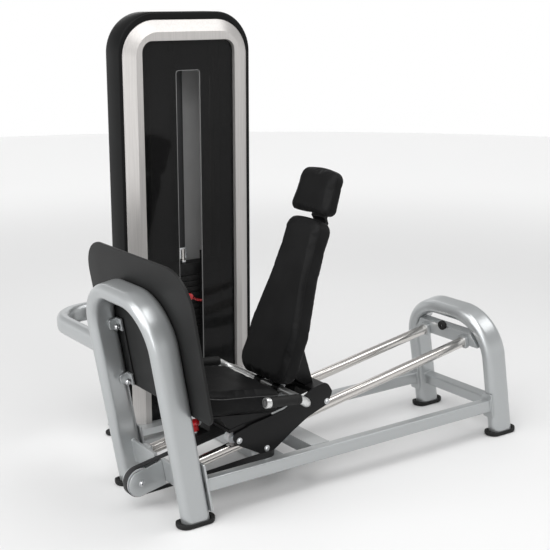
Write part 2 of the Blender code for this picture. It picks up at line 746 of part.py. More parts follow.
def weight_stack():
    plate_block("resting_weight_plates", RESTING_PLATES, STACK_BASE)
    lifted_bottom = STACK_BASE + RESTING_PLATES * PLATE_PITCH
    lifted = plate_block("lifted_weight_plates", LIFTED_PLATES, lifted_bottom)
    bore = pin_bore()
    cut(lifted, bore)
    bottom = lifted_bottom + LIFTED_PLATES * PLATE_PITCH
    head = slab("head_plate", rectangle(TOWER_X - STACK_HALF, TOWER_X + STACK_HALF, STACK_Y - STACK_DEPTH / 2,
                                        STACK_Y + STACK_DEPTH / 2), HEAD_HEIGHT, (0, 0, bottom), X_AXIS, Y_AXIS, iron())
    z = (bottom - 0.01, stack_top() + 0.01)
    cut(head, bores("head_guide_bores", (-GUIDE_OFFSET, GUIDE_OFFSET), GUIDE_RADIUS + 0.0015, z, iron()))
    cut(head, bores("head_rod_bore", (0,), SELECTOR_RADIUS + GAP, z, iron()))
    spindle = turned("selector_rod", [(SELECTOR_RADIUS, 0), (SELECTOR_RADIUS, stack_top() - 0.290),
                                      (SELECTOR_RADIUS, stack_top() - 0.230)],
                     (TOWER_X, STACK_Y, 0.290), Z_AXIS, chrome(), steps=14)
    cut(spindle, bore)
    knob = [(0.0052, 0), (0.0052, -0.0368), (0.010, -0.0388), (0.014, -0.0445), (0.015, -0.0585), (0.011, -0.0645)]
    turned("selector_pin", knob, (TOWER_X, STACK_Y, pin_height()), Y_AXIS, red(), steps=14)


def cushion():
    """Rubber strip under the stack, bored for the guide rods."""
    z = (0.2384, STACK_BASE - GAP)
    made = box("stack_cushion", (TOWER_X - 0.172, TOWER_X + 0.172), (0.676, 0.726), z, rubber())
    wide = (z[0] - 0.01, z[1] + 0.01)
    cut(made, bores("cushion_bores", (-GUIDE_OFFSET, GUIDE_OFFSET), GUIDE_RADIUS + 0.001, wide, rubber()))


def tower():
    tower_base()
    tower_foot("tower_left_foot", TOWER_X - 0.310)
    tower_foot("tower_right_foot", TOWER_X + 0.310)
    tower_frame()
    for name, offset in (("left_guide_rod", -GUIDE_OFFSET), ("right_guide_rod", GUIDE_OFFSET)):
        x = TOWER_X + offset
        rod(name, (x, STACK_Y, 0.238 + GAP), (x, STACK_Y, 1.630 - GAP), GUIDE_RADIUS, chrome(), 12)
    cushion()
    weight_stack()
    shell()
    bezel()
    window()


# ---------------------------------------------------------------- carriage

def side_plate(name, y):
    """Black cheek of the carriage; its rear lug carries the handle bar."""
    corners = [(0.197, 0.262, 0.020), (0.285, 0.288, 0.10), (0.437, 0.314, 0.06), (0.474, 0.3385, 0.004),
               (0.508, 0.3385, 0.004), (0.562, 0.370, 0.03), (0.628, 0.384, 0.030), (0.656, 0.340, 0.020),
               (0.630, 0.293, 0.03), (0.540, 0.262, 0.10), (0.470, 0.222, 0.05), (0.386, 0.168, 0.030),
               (0.330, 0.164, 0.040), (0.222, 0.224, 0.030)]
    half = SIDE_PLATE_THICKNESS / 2
    return slab(name, fillet(corners, 3), SIDE_PLATE_THICKNESS, (0, y + half, 0), X_AXIS, Z_AXIS, black_steel())


def roller(name, s, h, y, radius):
    """Grooved nylon roller that runs on a round rail, with a stub axle towards its cheek."""
    edge, waist, half = radius + 0.004, radius, 0.014
    out = 1 if y > 0 else -1
    stub = SIDE_PLATE_Y - SIDE_PLATE_THICKNESS / 2 - GAP - abs(y)
    profile = [(edge * 0.75, -half), (edge, -half + 0.002), (waist, -0.006), (waist, 0.006),
               (edge, half - 0.002), (edge * 0.75, half), (0.008, half + 0.001), (0.008, stub)]
    turned(name, profile, on_rail(s, h, y), Y_AXIS * out, pulley_plastic(), steps=16)


def rollers():
    clear = GAP
    high = RAIL_RADIUS + UPPER_ROLLER_R + clear
    low = -(RAIL_RADIUS + LOWER_ROLLER_R + clear)
    for side, y in (("near", -RAIL_Y), ("far", RAIL_Y)):
        for end, s in UPPER_ROLLERS.items():
            roller(end + "_" + side + "_roller", s, high, y, UPPER_ROLLER_R)
        roller("lower_" + side + "_roller", LOWER_ROLLER_S, low, y, LOWER_ROLLER_R)


def chassis():
    """Centre web with two cross boxes that hold the cheeks apart."""
    outline = [Vector(p) for p in ((0.145, 0.034), (0.660, 0.034), (0.660, 0.086), (0.606, 0.086),
                                   (0.590, 0.052), (0.290, 0.052), (0.275, 0.086), (0.222, 0.086),
                                   (0.200, 0.052), (0.145, 0.052))]
    made = slab("carriage_chassis", outline, 2 * WEB_HALF, on_rail(0, 0, WEB_HALF), ALONG, ABOVE, black_steel())
    reach = SIDE_PLATE_Y - SIDE_PLATE_THICKNESS / 2 - GAP
    for name, s, h in (("front_cross_box", (0.212, 0.282), (0.0815, 0.095)),
                       ("rear_cross_box", (0.602, 0.662), (0.0815, 0.104))):
        weld(made, rail_box(name, s, h, (-reach, reach), black_steel()))
    bore = rod("start_pin_bore", on_rail(START_PIN_S, -0.02), on_rail(START_PIN_S, 0.07), 0.0078, black_steel(), 12)
    cut(made, bore)
    return bore


def adjuster_bar(bore):
    """Flat bar pulled by the belt; the start pin locks the carriage to one of its holes."""
    low, high = 0.0070, 0.034 - GAP
    made = rail_box("adjuster_bar", (0.100, 0.590), (low, high), (-0.018, 0.018), brushed())
    cut(made, bore)


def start_pin():
    """Red pull knob that frees the carriage from the adjuster bar."""
    profile = [(0.0072, -0.042), (0.0072, 0.010), (0.014, 0.012), (0.014, 0.026), (0.019, 0.032),
               (0.019, 0.044), (0.013, 0.050)]
    turned("start_pin", profile, on_rail(START_PIN_S, 0.0525), ABOVE, red(), steps=14)


def seat_plane():
    """Origin and rearward direction of the seat pad's underside."""
    rearward = Vector((math.cos(SEAT_TILT), 0, -math.sin(SEAT_TILT)))
    return Vector((0.048, 0, 0.3600)), rearward


def seat():
    origin, rearward = seat_plane()
    outline = fillet([(0, -0.190, 0.110), (0.360, -0.190, 0.040), (0.360, 0.190, 0.040), (0, 0.190, 0.110)], 6)
    slab("seat_pad", outline, 0.088, origin, rearward, Y_AXIS, vinyl(), 0.018, 2)
    up = rearward.cross(Y_AXIS)
    under = origin - up * GAP
    s, reach = (0.216, 0.284), 0.1600
    touch = [on_rail(s[0], 0.0954), on_rail(s[1], 0.0954)]
    flat = [under + rearward * d - up * t for d, t in ((0.040, 0), (0.335, 0), (0.335, 0.008))]
    low = [touch[1], touch[0], under + rearward * 0.110 - up * 0.008, under + rearward * 0.040 - up * 0.008]
    outline = [Vector((p.x, p.z)) for p in reversed(flat + low)]
    slab("seat_pan", outline, 2 * reach, (0, reach, 0), X_AXIS, Z_AXIS, black_steel())


def back_frame_of_pads():
    """Origin, upward and rearward directions of the back pad's front face at its lower edge."""
    upward = Vector((math.sin(BACK_TILT), 0, math.cos(BACK_TILT)))
    rearward = Vector((math.cos(BACK_TILT), 0, -math.sin(BACK_TILT)))
    return Vector((0.426, 0, 0.394)), upward, rearward


def pads():
    origin, upward, rearward = back_frame_of_pads()
    half = [(0.155, 0, 0.075), (0.155, 0.200, 0.20), (0.114, 0.400, 0.50), (0.104, 0.632, 0.045)]
    outline = fillet(half + [(-u, v, radius) for u, v, radius in reversed(half)], 4)
    # u x v has to point rearward, so u runs across from the near to the far side
    slab("back_pad", outline, PAD_THICKNESS, origin, Y_AXIS, upward, vinyl(), 0.014, 2)
    head = origin + upward * 0.648 + rearward * 0.006
    outline = rectangle(-0.122, 0.122, 0, 0.180, 0.030, 4)
    slab("head_pad", outline, 0.060, head, Y_AXIS, upward, vinyl(), 0.014, 2)


def back_frame():
    """Black upright with side gussets, and the spine that carries the back pad and the head pad."""
    origin, upward, rearward = back_frame_of_pads()
    rear = PAD_THICKNESS + GAP

    def spot(v, w):
        p = origin + upward * v + rearward * w
        return Vector((p.x, p.z))

    thick, jog = 0.016, -0.012
    spine = [spot(0.040, rear), spot(0.636, rear), spot(0.646, rear + jog), spot(0.780, rear + jog),
             spot(0.780, rear + jog + thick), spot(0.646, rear + jog + thick), spot(0.630, rear + thick),
             spot(0.140, rear + thick)]
    made = slab("back_frame", list(reversed(spine)), 0.080, (0, 0.040, 0), X_AXIS, Z_AXIS, black_steel())
    foot_front, foot_rear = on_rail(0.606, 0.1044), on_rail(0.640, 0.1044)
    gusset = [spot(0.040, rear), spot(0.118, rear), Vector((0.572, 0.500)), Vector((foot_rear.x, foot_rear.z)),
              Vector((foot_front.x, foot_front.z)), Vector((0.545, 0.385))]
    weld(made, slab("back_gussets", list(reversed(gusset)), 0.200, (0, 0.100, 0), X_AXIS, Z_AXIS, black_steel()))


def handle():
    """One bent tube: both side handles and the bar between them, under the back pad."""
    front_x, grip_x, bar_x, corner = 0.290, 0.414, 0.480, 0.045
    level, fall, low = 0.4005, 0.10, 0.356

    def height(x):
        """Nearly level along the grips, then an easy drop to the bar under the back pad."""
        share = min(1.0, max(0.0, (x - grip_x) / (bar_x - grip_x)))
        straight = level - fall * (x - front_x)
        return straight + (low - straight) * share * share * (3 - 2 * share)

    side = [Vector((front_x, HANDLE_Y)), Vector((grip_x, HANDLE_Y))]
    side += arc((bar_x - corner, HANDLE_Y - corner), corner, 90, 0, 9)
    path = [Vector((p.x, p.y, height(p.x))) for p in side]
    path += [Vector((p.x, -p.y, height(p.x))) for p in reversed(side)]
    upward = Vector((fall, 0, 1)).normalized()
    made = sweep("handle_bar", path, upward, circle(HANDLE_RADIUS, 12), chrome())
    for y in (-0.155, 0.085):
        wing = rectangle(0.004, 0.040, y, y + 0.070, 0.006)
        weld(made, slab("handle_wing", wing, 0.005, (bar_x - 0.006, 0, height(bar_x) - 0.004),
                        (-0.75, 0, -0.66), Y_AXIS, chrome()))
    forward = Vector((-1, 0, fall)).normalized()
    for name, y in (("near_grip", -HANDLE_Y), ("far_grip", HANDLE_Y)):
        inner, length = HANDLE_RADIUS + 0.0006, 0.120
        profile = [(GRIP_RADIUS, 0), (GRIP_RADIUS, length), (inner, length), (inner, 0)]
        turned(name, profile, Vector((grip_x, y, height(grip_x))), forward, rubber(), True, 14)


def carriage():
    side_plate("near_side_plate", -SIDE_PLATE_Y)
    side_plate("far_side_plate", SIDE_PLATE_Y)
    rollers()
    adjuster_bar(chassis())
    start_pin()
    seat()
    pads()
    back_frame()
    handle()


# ---------------------------------------------------------------- assembly

def centre_on_footprint():
    """Moves the whole machine so that its origin is on the floor, in the middle of its footprint."""
    bpy.context.view_layer.update()
    graph = bpy.context.evaluated_depsgraph_get()
    corners = []
    for part in bpy.data.objects:
        if part.hide_render:
            continue
        solid = part.evaluated_get(graph)
        corners += [part.matrix_world @ v.co for v in solid.data.vertices]
    shift = Vector([-(min(p[i] for p in corners) + max(p[i] for p in corners)) / 2 for i in (0, 1)] + [0])
    for part in bpy.data.objects:
        part.location += shift


def main():
    for old in list(bpy.data.objects):
        bpy.data.objects.remove(old, do_unlink=True)
    main_frame()
    belt_drive()
    tower()
    carriage()
    centre_on_footprint()


main()
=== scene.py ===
"""Looks of the seated leg press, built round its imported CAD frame.

Pieces are modelled in the machine's own layout (+X to the rear, +Y to the tower, +Z up, x = 0 at the
front feet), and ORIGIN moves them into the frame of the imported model.
"""

import math

import bmesh
import bpy
from mathutils import Matrix, Vector
from mathutils.bvhtree import BVHTree


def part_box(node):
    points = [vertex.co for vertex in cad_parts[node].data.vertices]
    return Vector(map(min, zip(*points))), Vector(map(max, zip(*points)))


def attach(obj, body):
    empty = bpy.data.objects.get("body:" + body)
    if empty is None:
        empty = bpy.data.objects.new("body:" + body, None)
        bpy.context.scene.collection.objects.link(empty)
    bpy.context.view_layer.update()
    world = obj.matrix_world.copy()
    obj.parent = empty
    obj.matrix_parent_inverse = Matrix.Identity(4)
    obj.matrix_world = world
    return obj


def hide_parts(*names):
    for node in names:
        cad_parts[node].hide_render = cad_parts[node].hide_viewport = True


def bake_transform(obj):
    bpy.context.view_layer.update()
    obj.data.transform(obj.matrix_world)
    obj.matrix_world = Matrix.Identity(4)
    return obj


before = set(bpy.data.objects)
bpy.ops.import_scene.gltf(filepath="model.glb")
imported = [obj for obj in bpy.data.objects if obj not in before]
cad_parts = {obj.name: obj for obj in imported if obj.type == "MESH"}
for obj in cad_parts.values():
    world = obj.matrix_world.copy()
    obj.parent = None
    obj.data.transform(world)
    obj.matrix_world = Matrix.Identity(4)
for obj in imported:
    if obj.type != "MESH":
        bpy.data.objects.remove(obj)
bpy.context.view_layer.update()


def middle(node):
    low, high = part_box(node)
    return (Vector(low) + Vector(high)) / 2


# Driving dimensions, the same as the CAD's
GAP = 0.0004
RAIL_ANGLE = math.radians(9.8)
RAIL_Z = 0.1554
RAIL_Y = 0.115
RAIL_RADIUS = 0.0205
RAIL_START, RAIL_END = 0.0083, 1.412
SOCKET_HALF, SOCKET_DEPTH = 0.0245, 0.016
FRONT_PLATE_S = (-0.0041, 0.0079)
FRONT_HOOP_S, REAR_HOOP_S = -0.0146, 1.4635
FRONT_HOOP_TOP, REAR_HOOP_TOP = 0.659, 0.104
LEG_Y = 0.225
OVAL_LENGTH, OVAL_WIDTH = 0.106, 0.058
HOOP_CORNER = 0.165
HOOP_BACK, LEG_INSIDE = FRONT_HOOP_S + OVAL_LENGTH / 2, LEG_Y - OVAL_WIDTH / 2
FOOT_FLOOR = 0.0125
SIDE_TUBE_Z = (0.113, 0.163)
FRONT_PULLEY = (-0.0973, -0.0343)
FRONT_PULLEY_R = 0.0545
REDIRECT_R, LOW_PULLEY_R = 0.045, 0.035
BELT_WIDTH, BELT_THICKNESS, BELT_LOW_Z = 0.028, 0.003, 0.070
BELT_BACK_Y = 0.7525
TOP_PULLEY_Z = 1.575
TOWER_X = 0.525
SHELL_HALF, SHELL_TOP, SHELL_CORNER = 0.304, 1.728, 0.160
SHELL_Y = (0.640, 0.770)
SHELL_RIM, SHELL_BROW = 0.015, 0.030
BEZEL_FRONT, BEZEL_BACK, BEZEL_BEVEL = 0.612, 0.656, 0.045
WINDOW_HALF, WINDOW_TOP = 0.2147, 1.617
WINDOW_Y, SLOT_HALF = (0.630, 0.634), 0.057
BASE_TOP = 0.045
STACK_Y, STACK_HALF, STACK_DEPTH = 0.701, 0.175, 0.070
STACK_BASE, PLATE_PITCH, RESTING, LIFTED = 0.2655, 0.025, 11, 4
HEAD_HEIGHT = 0.050
GUIDE_OFFSET, GUIDE_RADIUS = 0.150, 0.012
UPPER_ROLLER_R, LOWER_ROLLER_R = 0.0215, 0.0130
UPPER_AXLE, LOWER_AXLE = RAIL_RADIUS + UPPER_ROLLER_R + GAP, -(RAIL_RADIUS + LOWER_ROLLER_R + GAP)
SIDE_PLATE_Y, CHEEK_HALF = 0.165, 0.004
ROLLER_S, LOWER_ROLLER_S = (0.243, 0.644), 0.352
START_PIN_S = 0.165
SEAT_TILT, BACK_TILT = math.radians(8.0), math.radians(19.7)
PAD_THICKNESS, SEAT_THICKNESS, HEAD_THICKNESS = 0.078, 0.088, 0.060
CLOTH_VOXEL, CLOTH_PRESSURE, CLOTH_FRAMES, KEPT_SIDEWAYS = 0.0065, 4.0, 16, 0.3
HANDLE_Y, HANDLE_RADIUS, GRIP_RADIUS = 0.270, 0.0145, 0.0195

ORIGIN = Vector((middle("tower_shell").x - TOWER_X, middle("front_hoop").y, 0))
X_AXIS, Y_AXIS, Z_AXIS = Vector((1, 0, 0)), Vector((0, 1, 0)), Vector((0, 0, 1))
ALONG = Vector((math.cos(RAIL_ANGLE), 0, math.sin(RAIL_ANGLE)))
ABOVE = Vector((-math.sin(RAIL_ANGLE), 0, math.cos(RAIL_ANGLE)))


def on_rail(s, h, y=0.0):
    """Point at distance s along the rails and h square to them."""
    return Vector((0, y, RAIL_Z)) + ALONG * s + ABOVE * h


# ---------------------------------------------------------------- materials

class Shader:
    """Node tree of one material, with the Principled shader's sockets at hand."""

    def __init__(self, name, colour, roughness, metallic=0.0, **sockets):
        self.material = bpy.data.materials.new(name)
        self.material.use_nodes = True
        self.tree = self.material.node_tree
        self.shader = self.tree.nodes["Principled BSDF"]
        self.set("Base Color", (*colour, 1))
        self.set("Roughness", roughness)
        self.set("Metallic", metallic)
        for socket, value in sockets.items():
            self.set(socket.replace("_", " "), value)
        self.material.diffuse_color = (*colour, 1)
        self.colour = colour

    def set(self, socket, value):
        self.shader.inputs[socket].default_value = value

    def add(self, kind, **inputs):
        node = self.tree.nodes.new(kind)
        for name, value in inputs.items():
            node.inputs[name.replace("_", " ")].default_value = value
        return node

    def link(self, a, b):
        self.tree.links.new(a, b)

    def place(self, stretch=(1, 1, 1)):
        """Object coordinates, stretched."""
        coordinates = self.add("ShaderNodeTexCoord")
        mapping = self.add("ShaderNodeMapping", Scale=stretch)
        self.link(coordinates.outputs["Object"], mapping.inputs["Vector"])
        return mapping.outputs["Vector"]

    def texture(self, kind, output, stretch=(1, 1, 1), **inputs):
        node = self.add(kind, **inputs)
        self.link(self.place(stretch), node.inputs["Vector"])
        return node.outputs[output]

    def noise(self, scale, detail=3.0, stretch=(1, 1, 1)):
        return self.texture("ShaderNodeTexNoise", "Fac", stretch, Scale=scale, Detail=detail)

    def cells(self, scale):
        return self.texture("ShaderNodeTexVoronoi", "Distance", Scale=scale)

    def ribs(self, scale):
        return self.texture("ShaderNodeTexWave", "Fac", Scale=scale, Distortion=0.4, Detail=1.0)

    def spread(self, value, low, high):
        """The value of a 0 to 1 texture mapped to the range low to high."""
        node = self.add("ShaderNodeMapRange", To_Min=low, To_Max=high)
        node.inputs["From Min"].default_value = 0.1
        node.inputs["From Max"].default_value = 0.9
        self.link(value, node.inputs["Value"])
        return node.outputs["Result"]

    def vary_roughness(self, value, low, high):
        self.link(self.spread(value, low, high), self.shader.inputs["Roughness"])

    def vary_colour(self, value, dark, light):
        """Base colour between two brightnesses of the material's own colour."""
        ramp = self.add("ShaderNodeValToRGB")
        ramp.color_ramp.interpolation = "EASE"
        ramp.color_ramp.elements[0].position = 0.3
        ramp.color_ramp.elements[1].position = 0.7
        ramp.color_ramp.elements[0].color = (*[c * dark for c in self.colour], 1)
        ramp.color_ramp.elements[1].color = (*[c * light for c in self.colour], 1)
        self.link(value, ramp.inputs["Fac"])
        self.link(ramp.outputs["Color"], self.shader.inputs["Base Color"])

    def bump(self, value, strength, distance):
        node = self.add("ShaderNodeBump", Strength=strength, Distance=distance)
        self.link(value, node.inputs["Height"])
        self.link(node.outputs["Normal"], self.shader.inputs["Normal"])


def surface(name, colour, roughness, metallic, bump, gloss, tint=None, relief=Shader.noise, **sockets):
    """Material with a bump, uneven roughness and uneven colour.

    gloss and tint are (low, high, scale, detail, stretch) of a noise. bump is (strength, distance, scale,
    detail, stretch), and relief is the texture it comes from.
    """
    made = Shader(name, colour, roughness, metallic, **sockets)
    if bump:
        made.bump(relief(made, *bump[2:]), *bump[:2])
    if gloss:
        made.vary_roughness(made.noise(*gloss[2:]), *gloss[:2])
    if tint:
        made.vary_colour(made.noise(*tint[2:]), *tint[:2])
    return made.material


def powder_coat(name, colour, roughness, metallic, coat):
    """Baked powder: orange peel, a faint sparkle and slightly uneven gloss."""
    return surface(name, colour, roughness, metallic, (0.08, 0.0004, 900, 2),
                   (roughness - 0.02, roughness + 0.02, 3, 0), (0.975, 1.02, 1600, 1),
                   Coat_Weight=coat, Coat_Roughness=0.15, Specular_IOR_Level=0.2)


def moulded(name, colour, roughness, grain=0.10, gloss=0.3):
    """Moulded or painted plastic sheet with a fine even grain."""
    return surface(name, colour, roughness, 0.0, (grain, 0.0004, 1400, 2),
                   (roughness - 0.05, roughness + 0.06, 6), (0.94, 1.07, 5), Specular_IOR_Level=gloss)


BRUSHED = (420, 4, (1, 1, 0.012))

SILVER = powder_coat("silver_powder_coat", (0.43, 0.445, 0.45), 0.29, 0.66, 0.12)
BLACK_STEEL = powder_coat("black_powder_coat", (0.0060, 0.0060, 0.0063), 0.42, 0.0, 0.0)
VINYL = surface("black_vinyl", (0.0068, 0.0068, 0.0070), 0.46, 0.0, (0.22, 0.0006, 520), (0.40, 0.54, 14),
                (0.85, 1.2, 9), Shader.cells, Sheen_Weight=0.006, Sheen_Roughness=0.5, Specular_IOR_Level=0.08)
RUBBER = surface("black_rubber", (0.011, 0.011, 0.011), 0.7, 0.0, (0.25, 0.0005, 1100, 2), (0.60, 0.82, 30),
                 (0.8, 1.25, 25), Specular_IOR_Level=0.25)
GRIP = surface("grip_rubber", (0.010, 0.010, 0.010), 0.62, 0.0, (0.3, 0.0007, 75), (0.55, 0.72, 40),
               relief=Shader.ribs, Specular_IOR_Level=0.25)
CHROME = surface("chrome", (0.66, 0.635, 0.61), 0.20, 1.0, (0.02, 0.0003, 700, 1, (0.2, 4, 4)),
                 (0.15, 0.25, 60, 2, (1, 12, 12)))
HANDLE_CHROME = surface("satin_chrome", (0.66, 0.665, 0.66), 0.33, 0.9, (0.03, 0.0003, 600, 2),
                        (0.27, 0.40, 45, 2), (0.93, 1.05, 30))
# Seat welt: black piping painted a lighter grey than the vinyl, a painted highlight along the seat's upper
# edge. The back and head welts are plain vinyl.
SEAT_WELT_PAINTED_HIGHLIGHT = surface("seam_welt_painted_highlight", (0.030, 0.030, 0.030), 0.32, 0.0, (0.15, 0.0004, 900, 2), (0.26, 0.40, 60),
               Specular_IOR_Level=0.55)
ZINC = surface("zinc_plate", (0.62, 0.63, 0.64), 0.28, 1.0, None, (0.2, 0.42, 300), (0.85, 1.08, 200))
ALUMINIUM = surface("satin_aluminium", (0.455, 0.440, 0.428), 0.32, 0.66, (0.05, 0.0003, *BRUSHED),
                    (0.30, 0.44, *BRUSHED), (0.94, 1.05, 260, 3, (1, 1, 0.02)))
SHELL_PLASTIC = moulded("shell_plastic", (0.0066, 0.0068, 0.0069), 0.33, 0.06, 0.08)
PLATE_PLASTIC = moulded("plate_plastic", (0.0150, 0.0152, 0.0152), 0.40, 0.12, 0.12)
LINER = moulded("liner_grey", (0.40, 0.40, 0.40), 0.55, 0.10)
ACRYLIC = surface("smoked_acrylic", (0.006, 0.006, 0.006), 0.06, 0.0, None, (0.045, 0.085, 3),
                  Alpha=0.86, Specular_IOR_Level=0.16)
ACRYLIC.blend_method = "BLEND"
# Slot edge: its gloss is real, and its lighter grey than the smoked acrylic is a painted highlight along the
# slot's edges.
EDGE = moulded("acrylic_edge_painted_highlight", (0.15, 0.15, 0.15), 0.20, 0.03, 0.7)
IRON = surface("black_cast_iron", (0.008, 0.008, 0.008), 0.5, 0.0, (0.35, 0.0012, 450, 5),
               (0.42, 0.62, 50), (0.75, 1.3, 80), Specular_IOR_Level=0.2)
RED = surface("red_plastic", (0.40, 0.010, 0.014), 0.30, 0.0, (0.05, 0.0003, 500), None, (0.88, 1.1, 60),
              Coat_Weight=0.2)
NYLON = surface("grey_nylon", (0.42, 0.43, 0.44), 0.42, 0.0, (0.08, 0.0005, 300, 2), None,
                (0.92, 1.06, 90), Subsurface_Weight=0.05)
BELT = surface("belt_weave", (0.010, 0.010, 0.011), 0.55, 0.0, (0.3, 0.0005, 900), (0.48, 0.66, 60),
               relief=Shader.cells)


# ---------------------------------------------------------------- mesh helpers

def put(name, bm, skin, body, replaces=(), sharp=35):
    """Makes the piece, moves it into the frame and lets it ride on its body."""
    bmesh.ops.recalc_face_normals(bm, faces=bm.faces)
    mesh = bpy.data.meshes.new(name)
    bm.to_mesh(mesh)
    bm.free()
    mesh.materials.append(skin)
    mesh.shade_smooth()
    mesh.set_sharp_from_angle(angle=math.radians(sharp))
    made = bpy.data.objects.new(name, mesh)
    made.location = ORIGIN
    bpy.context.scene.collection.objects.link(made)
    if body:
        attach(made, body)
    if replaces:
        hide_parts(*replaces)
    return made


def dress(nodes, skin, bevel=0.0012):
    """A CAD node whose shape is right gets its material and fine rounded edges."""
    for name in nodes:
        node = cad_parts[name]
        node.data.materials.clear()
        node.data.materials.append(skin)
        weld = node.modifiers.new("weld", "WELD")
        weld.merge_threshold = 0.00002
        if bevel:
            rounded = node.modifiers.new("edges", "BEVEL")
            rounded.width = bevel
            rounded.segments = 2
            rounded.limit_method = "ANGLE"
            rounded.angle_limit = math.radians(40)
            rounded.use_clamp_overlap = True


def fillet(corners, steps=8):
    """Outline through corners (u, v, radius), each rounded with an arc of its radius."""
    outline = []
    count = len(corners)
    for i, (u, v, radius) in enumerate(corners):
        here = Vector((u, v))
        if radius <= 0:
            outline.append(here)
            continue
        back = (Vector(corners[i - 1][:2]) - here).normalized()
        ahead = (Vector(corners[(i + 1) % count][:2]) - here).normalized()
        half = back.angle(ahead) / 2
        centre = here + (back + ahead).normalized() * radius / math.sin(half)
        start = here + back * radius / math.tan(half) - centre
        end = here + ahead * radius / math.tan(half) - centre
        turn = math.atan2(start.x * end.y - start.y * end.x, start.dot(end))
        for k in range(steps + 1):
            angle = turn * k / steps
            c, s = math.cos(angle), math.sin(angle)
            outline.append(centre + Vector((start.x * c - start.y * s, start.x * s + start.y * c)))
    return outline


def rectangle(u0, u1, v0, v1, radius=0.0, steps=6):
    return fillet([(u0, v0, radius), (u1, v0, radius), (u1, v1, radius), (u0, v1, radius)], steps)


def circle(radius, steps=40):
    return [Vector((radius * math.cos(2 * math.pi * k / steps), radius * math.sin(2 * math.pi * k / steps)))
            for k in range(steps)]


def flat_oval(length, width, steps=14):
    r = width / 2
    corners = [(-length / 2, -r, r), (length / 2, -r, r), (length / 2, r, r), (-length / 2, r, r)]
    return fillet(corners, steps)


def arc(centre, radius, start, end, steps):
    """Points (u, v) on an arc, angles in degrees."""
    return [Vector((centre[0] + radius * math.cos(math.radians(start + (end - start) * k / steps)),
                    centre[1] + radius * math.sin(math.radians(start + (end - start) * k / steps))))
            for k in range(steps + 1)]


def bridge(bm, a, b):
    for k in range(len(a)):
        nxt = (k + 1) % len(a)
        bm.faces.new((a[k], a[nxt], b[nxt], b[k]))


def loft(bm, rings):
    """Skins rings of equal point counts and caps both ends."""
    for a, b in zip(rings, rings[1:]):
        bridge(bm, a, b)
    bm.faces.new(rings[0])
    bm.faces.new(rings[-1])


def add_slab(bm, outline, depth, origin, u, v, edge=0.0, segments=3):
    """Adds an outline in the plane of u and v, extruded by depth along u x v, with rounded rims."""
    u, v = Vector(u).normalized(), Vector(v).normalized()
    w = u.cross(v)
    face = bm.faces.new([bm.verts.new(Vector(origin) + u * p.x + v * p.y) for p in outline])
    grown = bmesh.ops.extrude_face_region(bm, geom=[face])["geom"]
    top = [g for g in grown if isinstance(g, bmesh.types.BMVert)]
    bmesh.ops.translate(bm, verts=top, vec=w * depth)
    if edge > 0:
        flats = [face] + [g for g in grown if isinstance(g, bmesh.types.BMFace)]
        edges = {e for f in flats for e in f.edges}
        rims = [e for e in edges if abs((e.verts[0].co - e.verts[1].co).dot(w)) < 1e-6]
        bmesh.ops.bevel(bm, geom=rims, offset=edge, segments=segments, profile=0.5, affect="EDGES")


def add_turned(bm, profile, centre, axis, steps=40):
    """Adds a closed profile of (radius, height) turned about an axis, capped at both ends."""
    turn = Z_AXIS.rotation_difference(Vector(axis)).to_matrix().to_4x4()
    place = Matrix.Translation(Vector(centre)) @ turn
    rings = [[bm.verts.new(place @ Vector((p.x, p.y, height))) for p in circle(radius, steps)]
             for radius, height in profile]
    loft(bm, rings)


def rounded_profile(radius, length, edge):
    """Plain cylinder with softened rims, as a turned profile."""
    return [(radius - edge, 0), (radius - edge * 0.3, edge * 0.3), (radius, edge),
            (radius, length - edge), (radius - edge * 0.3, length - edge * 0.3), (radius - edge, length)]


def slab(name, outline, depth, origin, u, v, skin, body, edge=0.001, replaces=(), segments=3):
    bm = bmesh.new()
    add_slab(bm, outline, depth, origin, u, v, edge, segments)
    return put(name, bm, skin, body, replaces)


def turned(name, profile, centre, axis, skin, body, replaces=(), steps=48):
    bm = bmesh.new()
    add_turned(bm, profile, centre, axis, steps)
    return put(name, bm, skin, body, replaces)


def add_tube(bm, path, side, outline, planes=(None, None)):
    """Adds a tube whose outline's u follows side; planes holds a (point, normal) that cuts each end.

    side is one vector, or a list with one for each point of the path.
    """
    path = [Vector(p) for p in path]
    sides = side if isinstance(side, list) else [side] * len(path)
    last = len(path) - 1
    rings = []
    for i, point in enumerate(path):
        along = (path[min(i + 1, last)] - path[max(i - 1, 0)]).normalized()
        across = (sides[i] - along * sides[i].dot(along)).normalized()
        other = along.cross(across)
        ring = [point + across * p.x + other * p.y for p in outline]
        plane = planes[0] if i == 0 else planes[1] if i == last else None
        if plane:
            on, normal = Vector(plane[0]), Vector(plane[1])
            ring = [p + along * ((on - p).dot(normal) / along.dot(normal)) for p in ring]
        rings.append([bm.verts.new(p) for p in ring])
    loft(bm, rings)


def tube(name, path, side, outline, skin, body, replaces=(), planes=(None, None)):
    bm = bmesh.new()
    add_tube(bm, path, side, outline, planes)
    return put(name, bm, skin, body, replaces)


def weld_bead(name, points, body, radius=0.0028):
    """Closed run of weld round a joint, with the ripples of its passes."""
    bm = bmesh.new()
    count = len(points)
    rings = []
    for i in range(count):
        along = (points[(i + 1) % count] - points[i - 1]).normalized()
        across = along.orthogonal().normalized()
        other = along.cross(across)
        swell = radius * (1 + 0.18 * math.sin(i * 2.4))
        rings.append([bm.verts.new(points[i] + across * p.x + other * p.y) for p in circle(swell, 8)])
    for i in range(count):
        a, b = rings[i], rings[(i + 1) % count]
        shift = min(range(8), key=lambda k: (b[k].co - a[0].co).length)
        for k in range(8):
            bm.faces.new((a[k], a[(k + 1) % 8], b[(k + 1 + shift) % 8], b[(k + shift) % 8]))
    return put(name, bm, SILVER, body, sharp=180)


def box_corners(a, b):
    """The four corners of a rectangle, in order, from two of its opposite ones."""
    return [(a[0], a[1]), (b[0], a[1]), (b[0], b[1]), (a[0], b[1])]


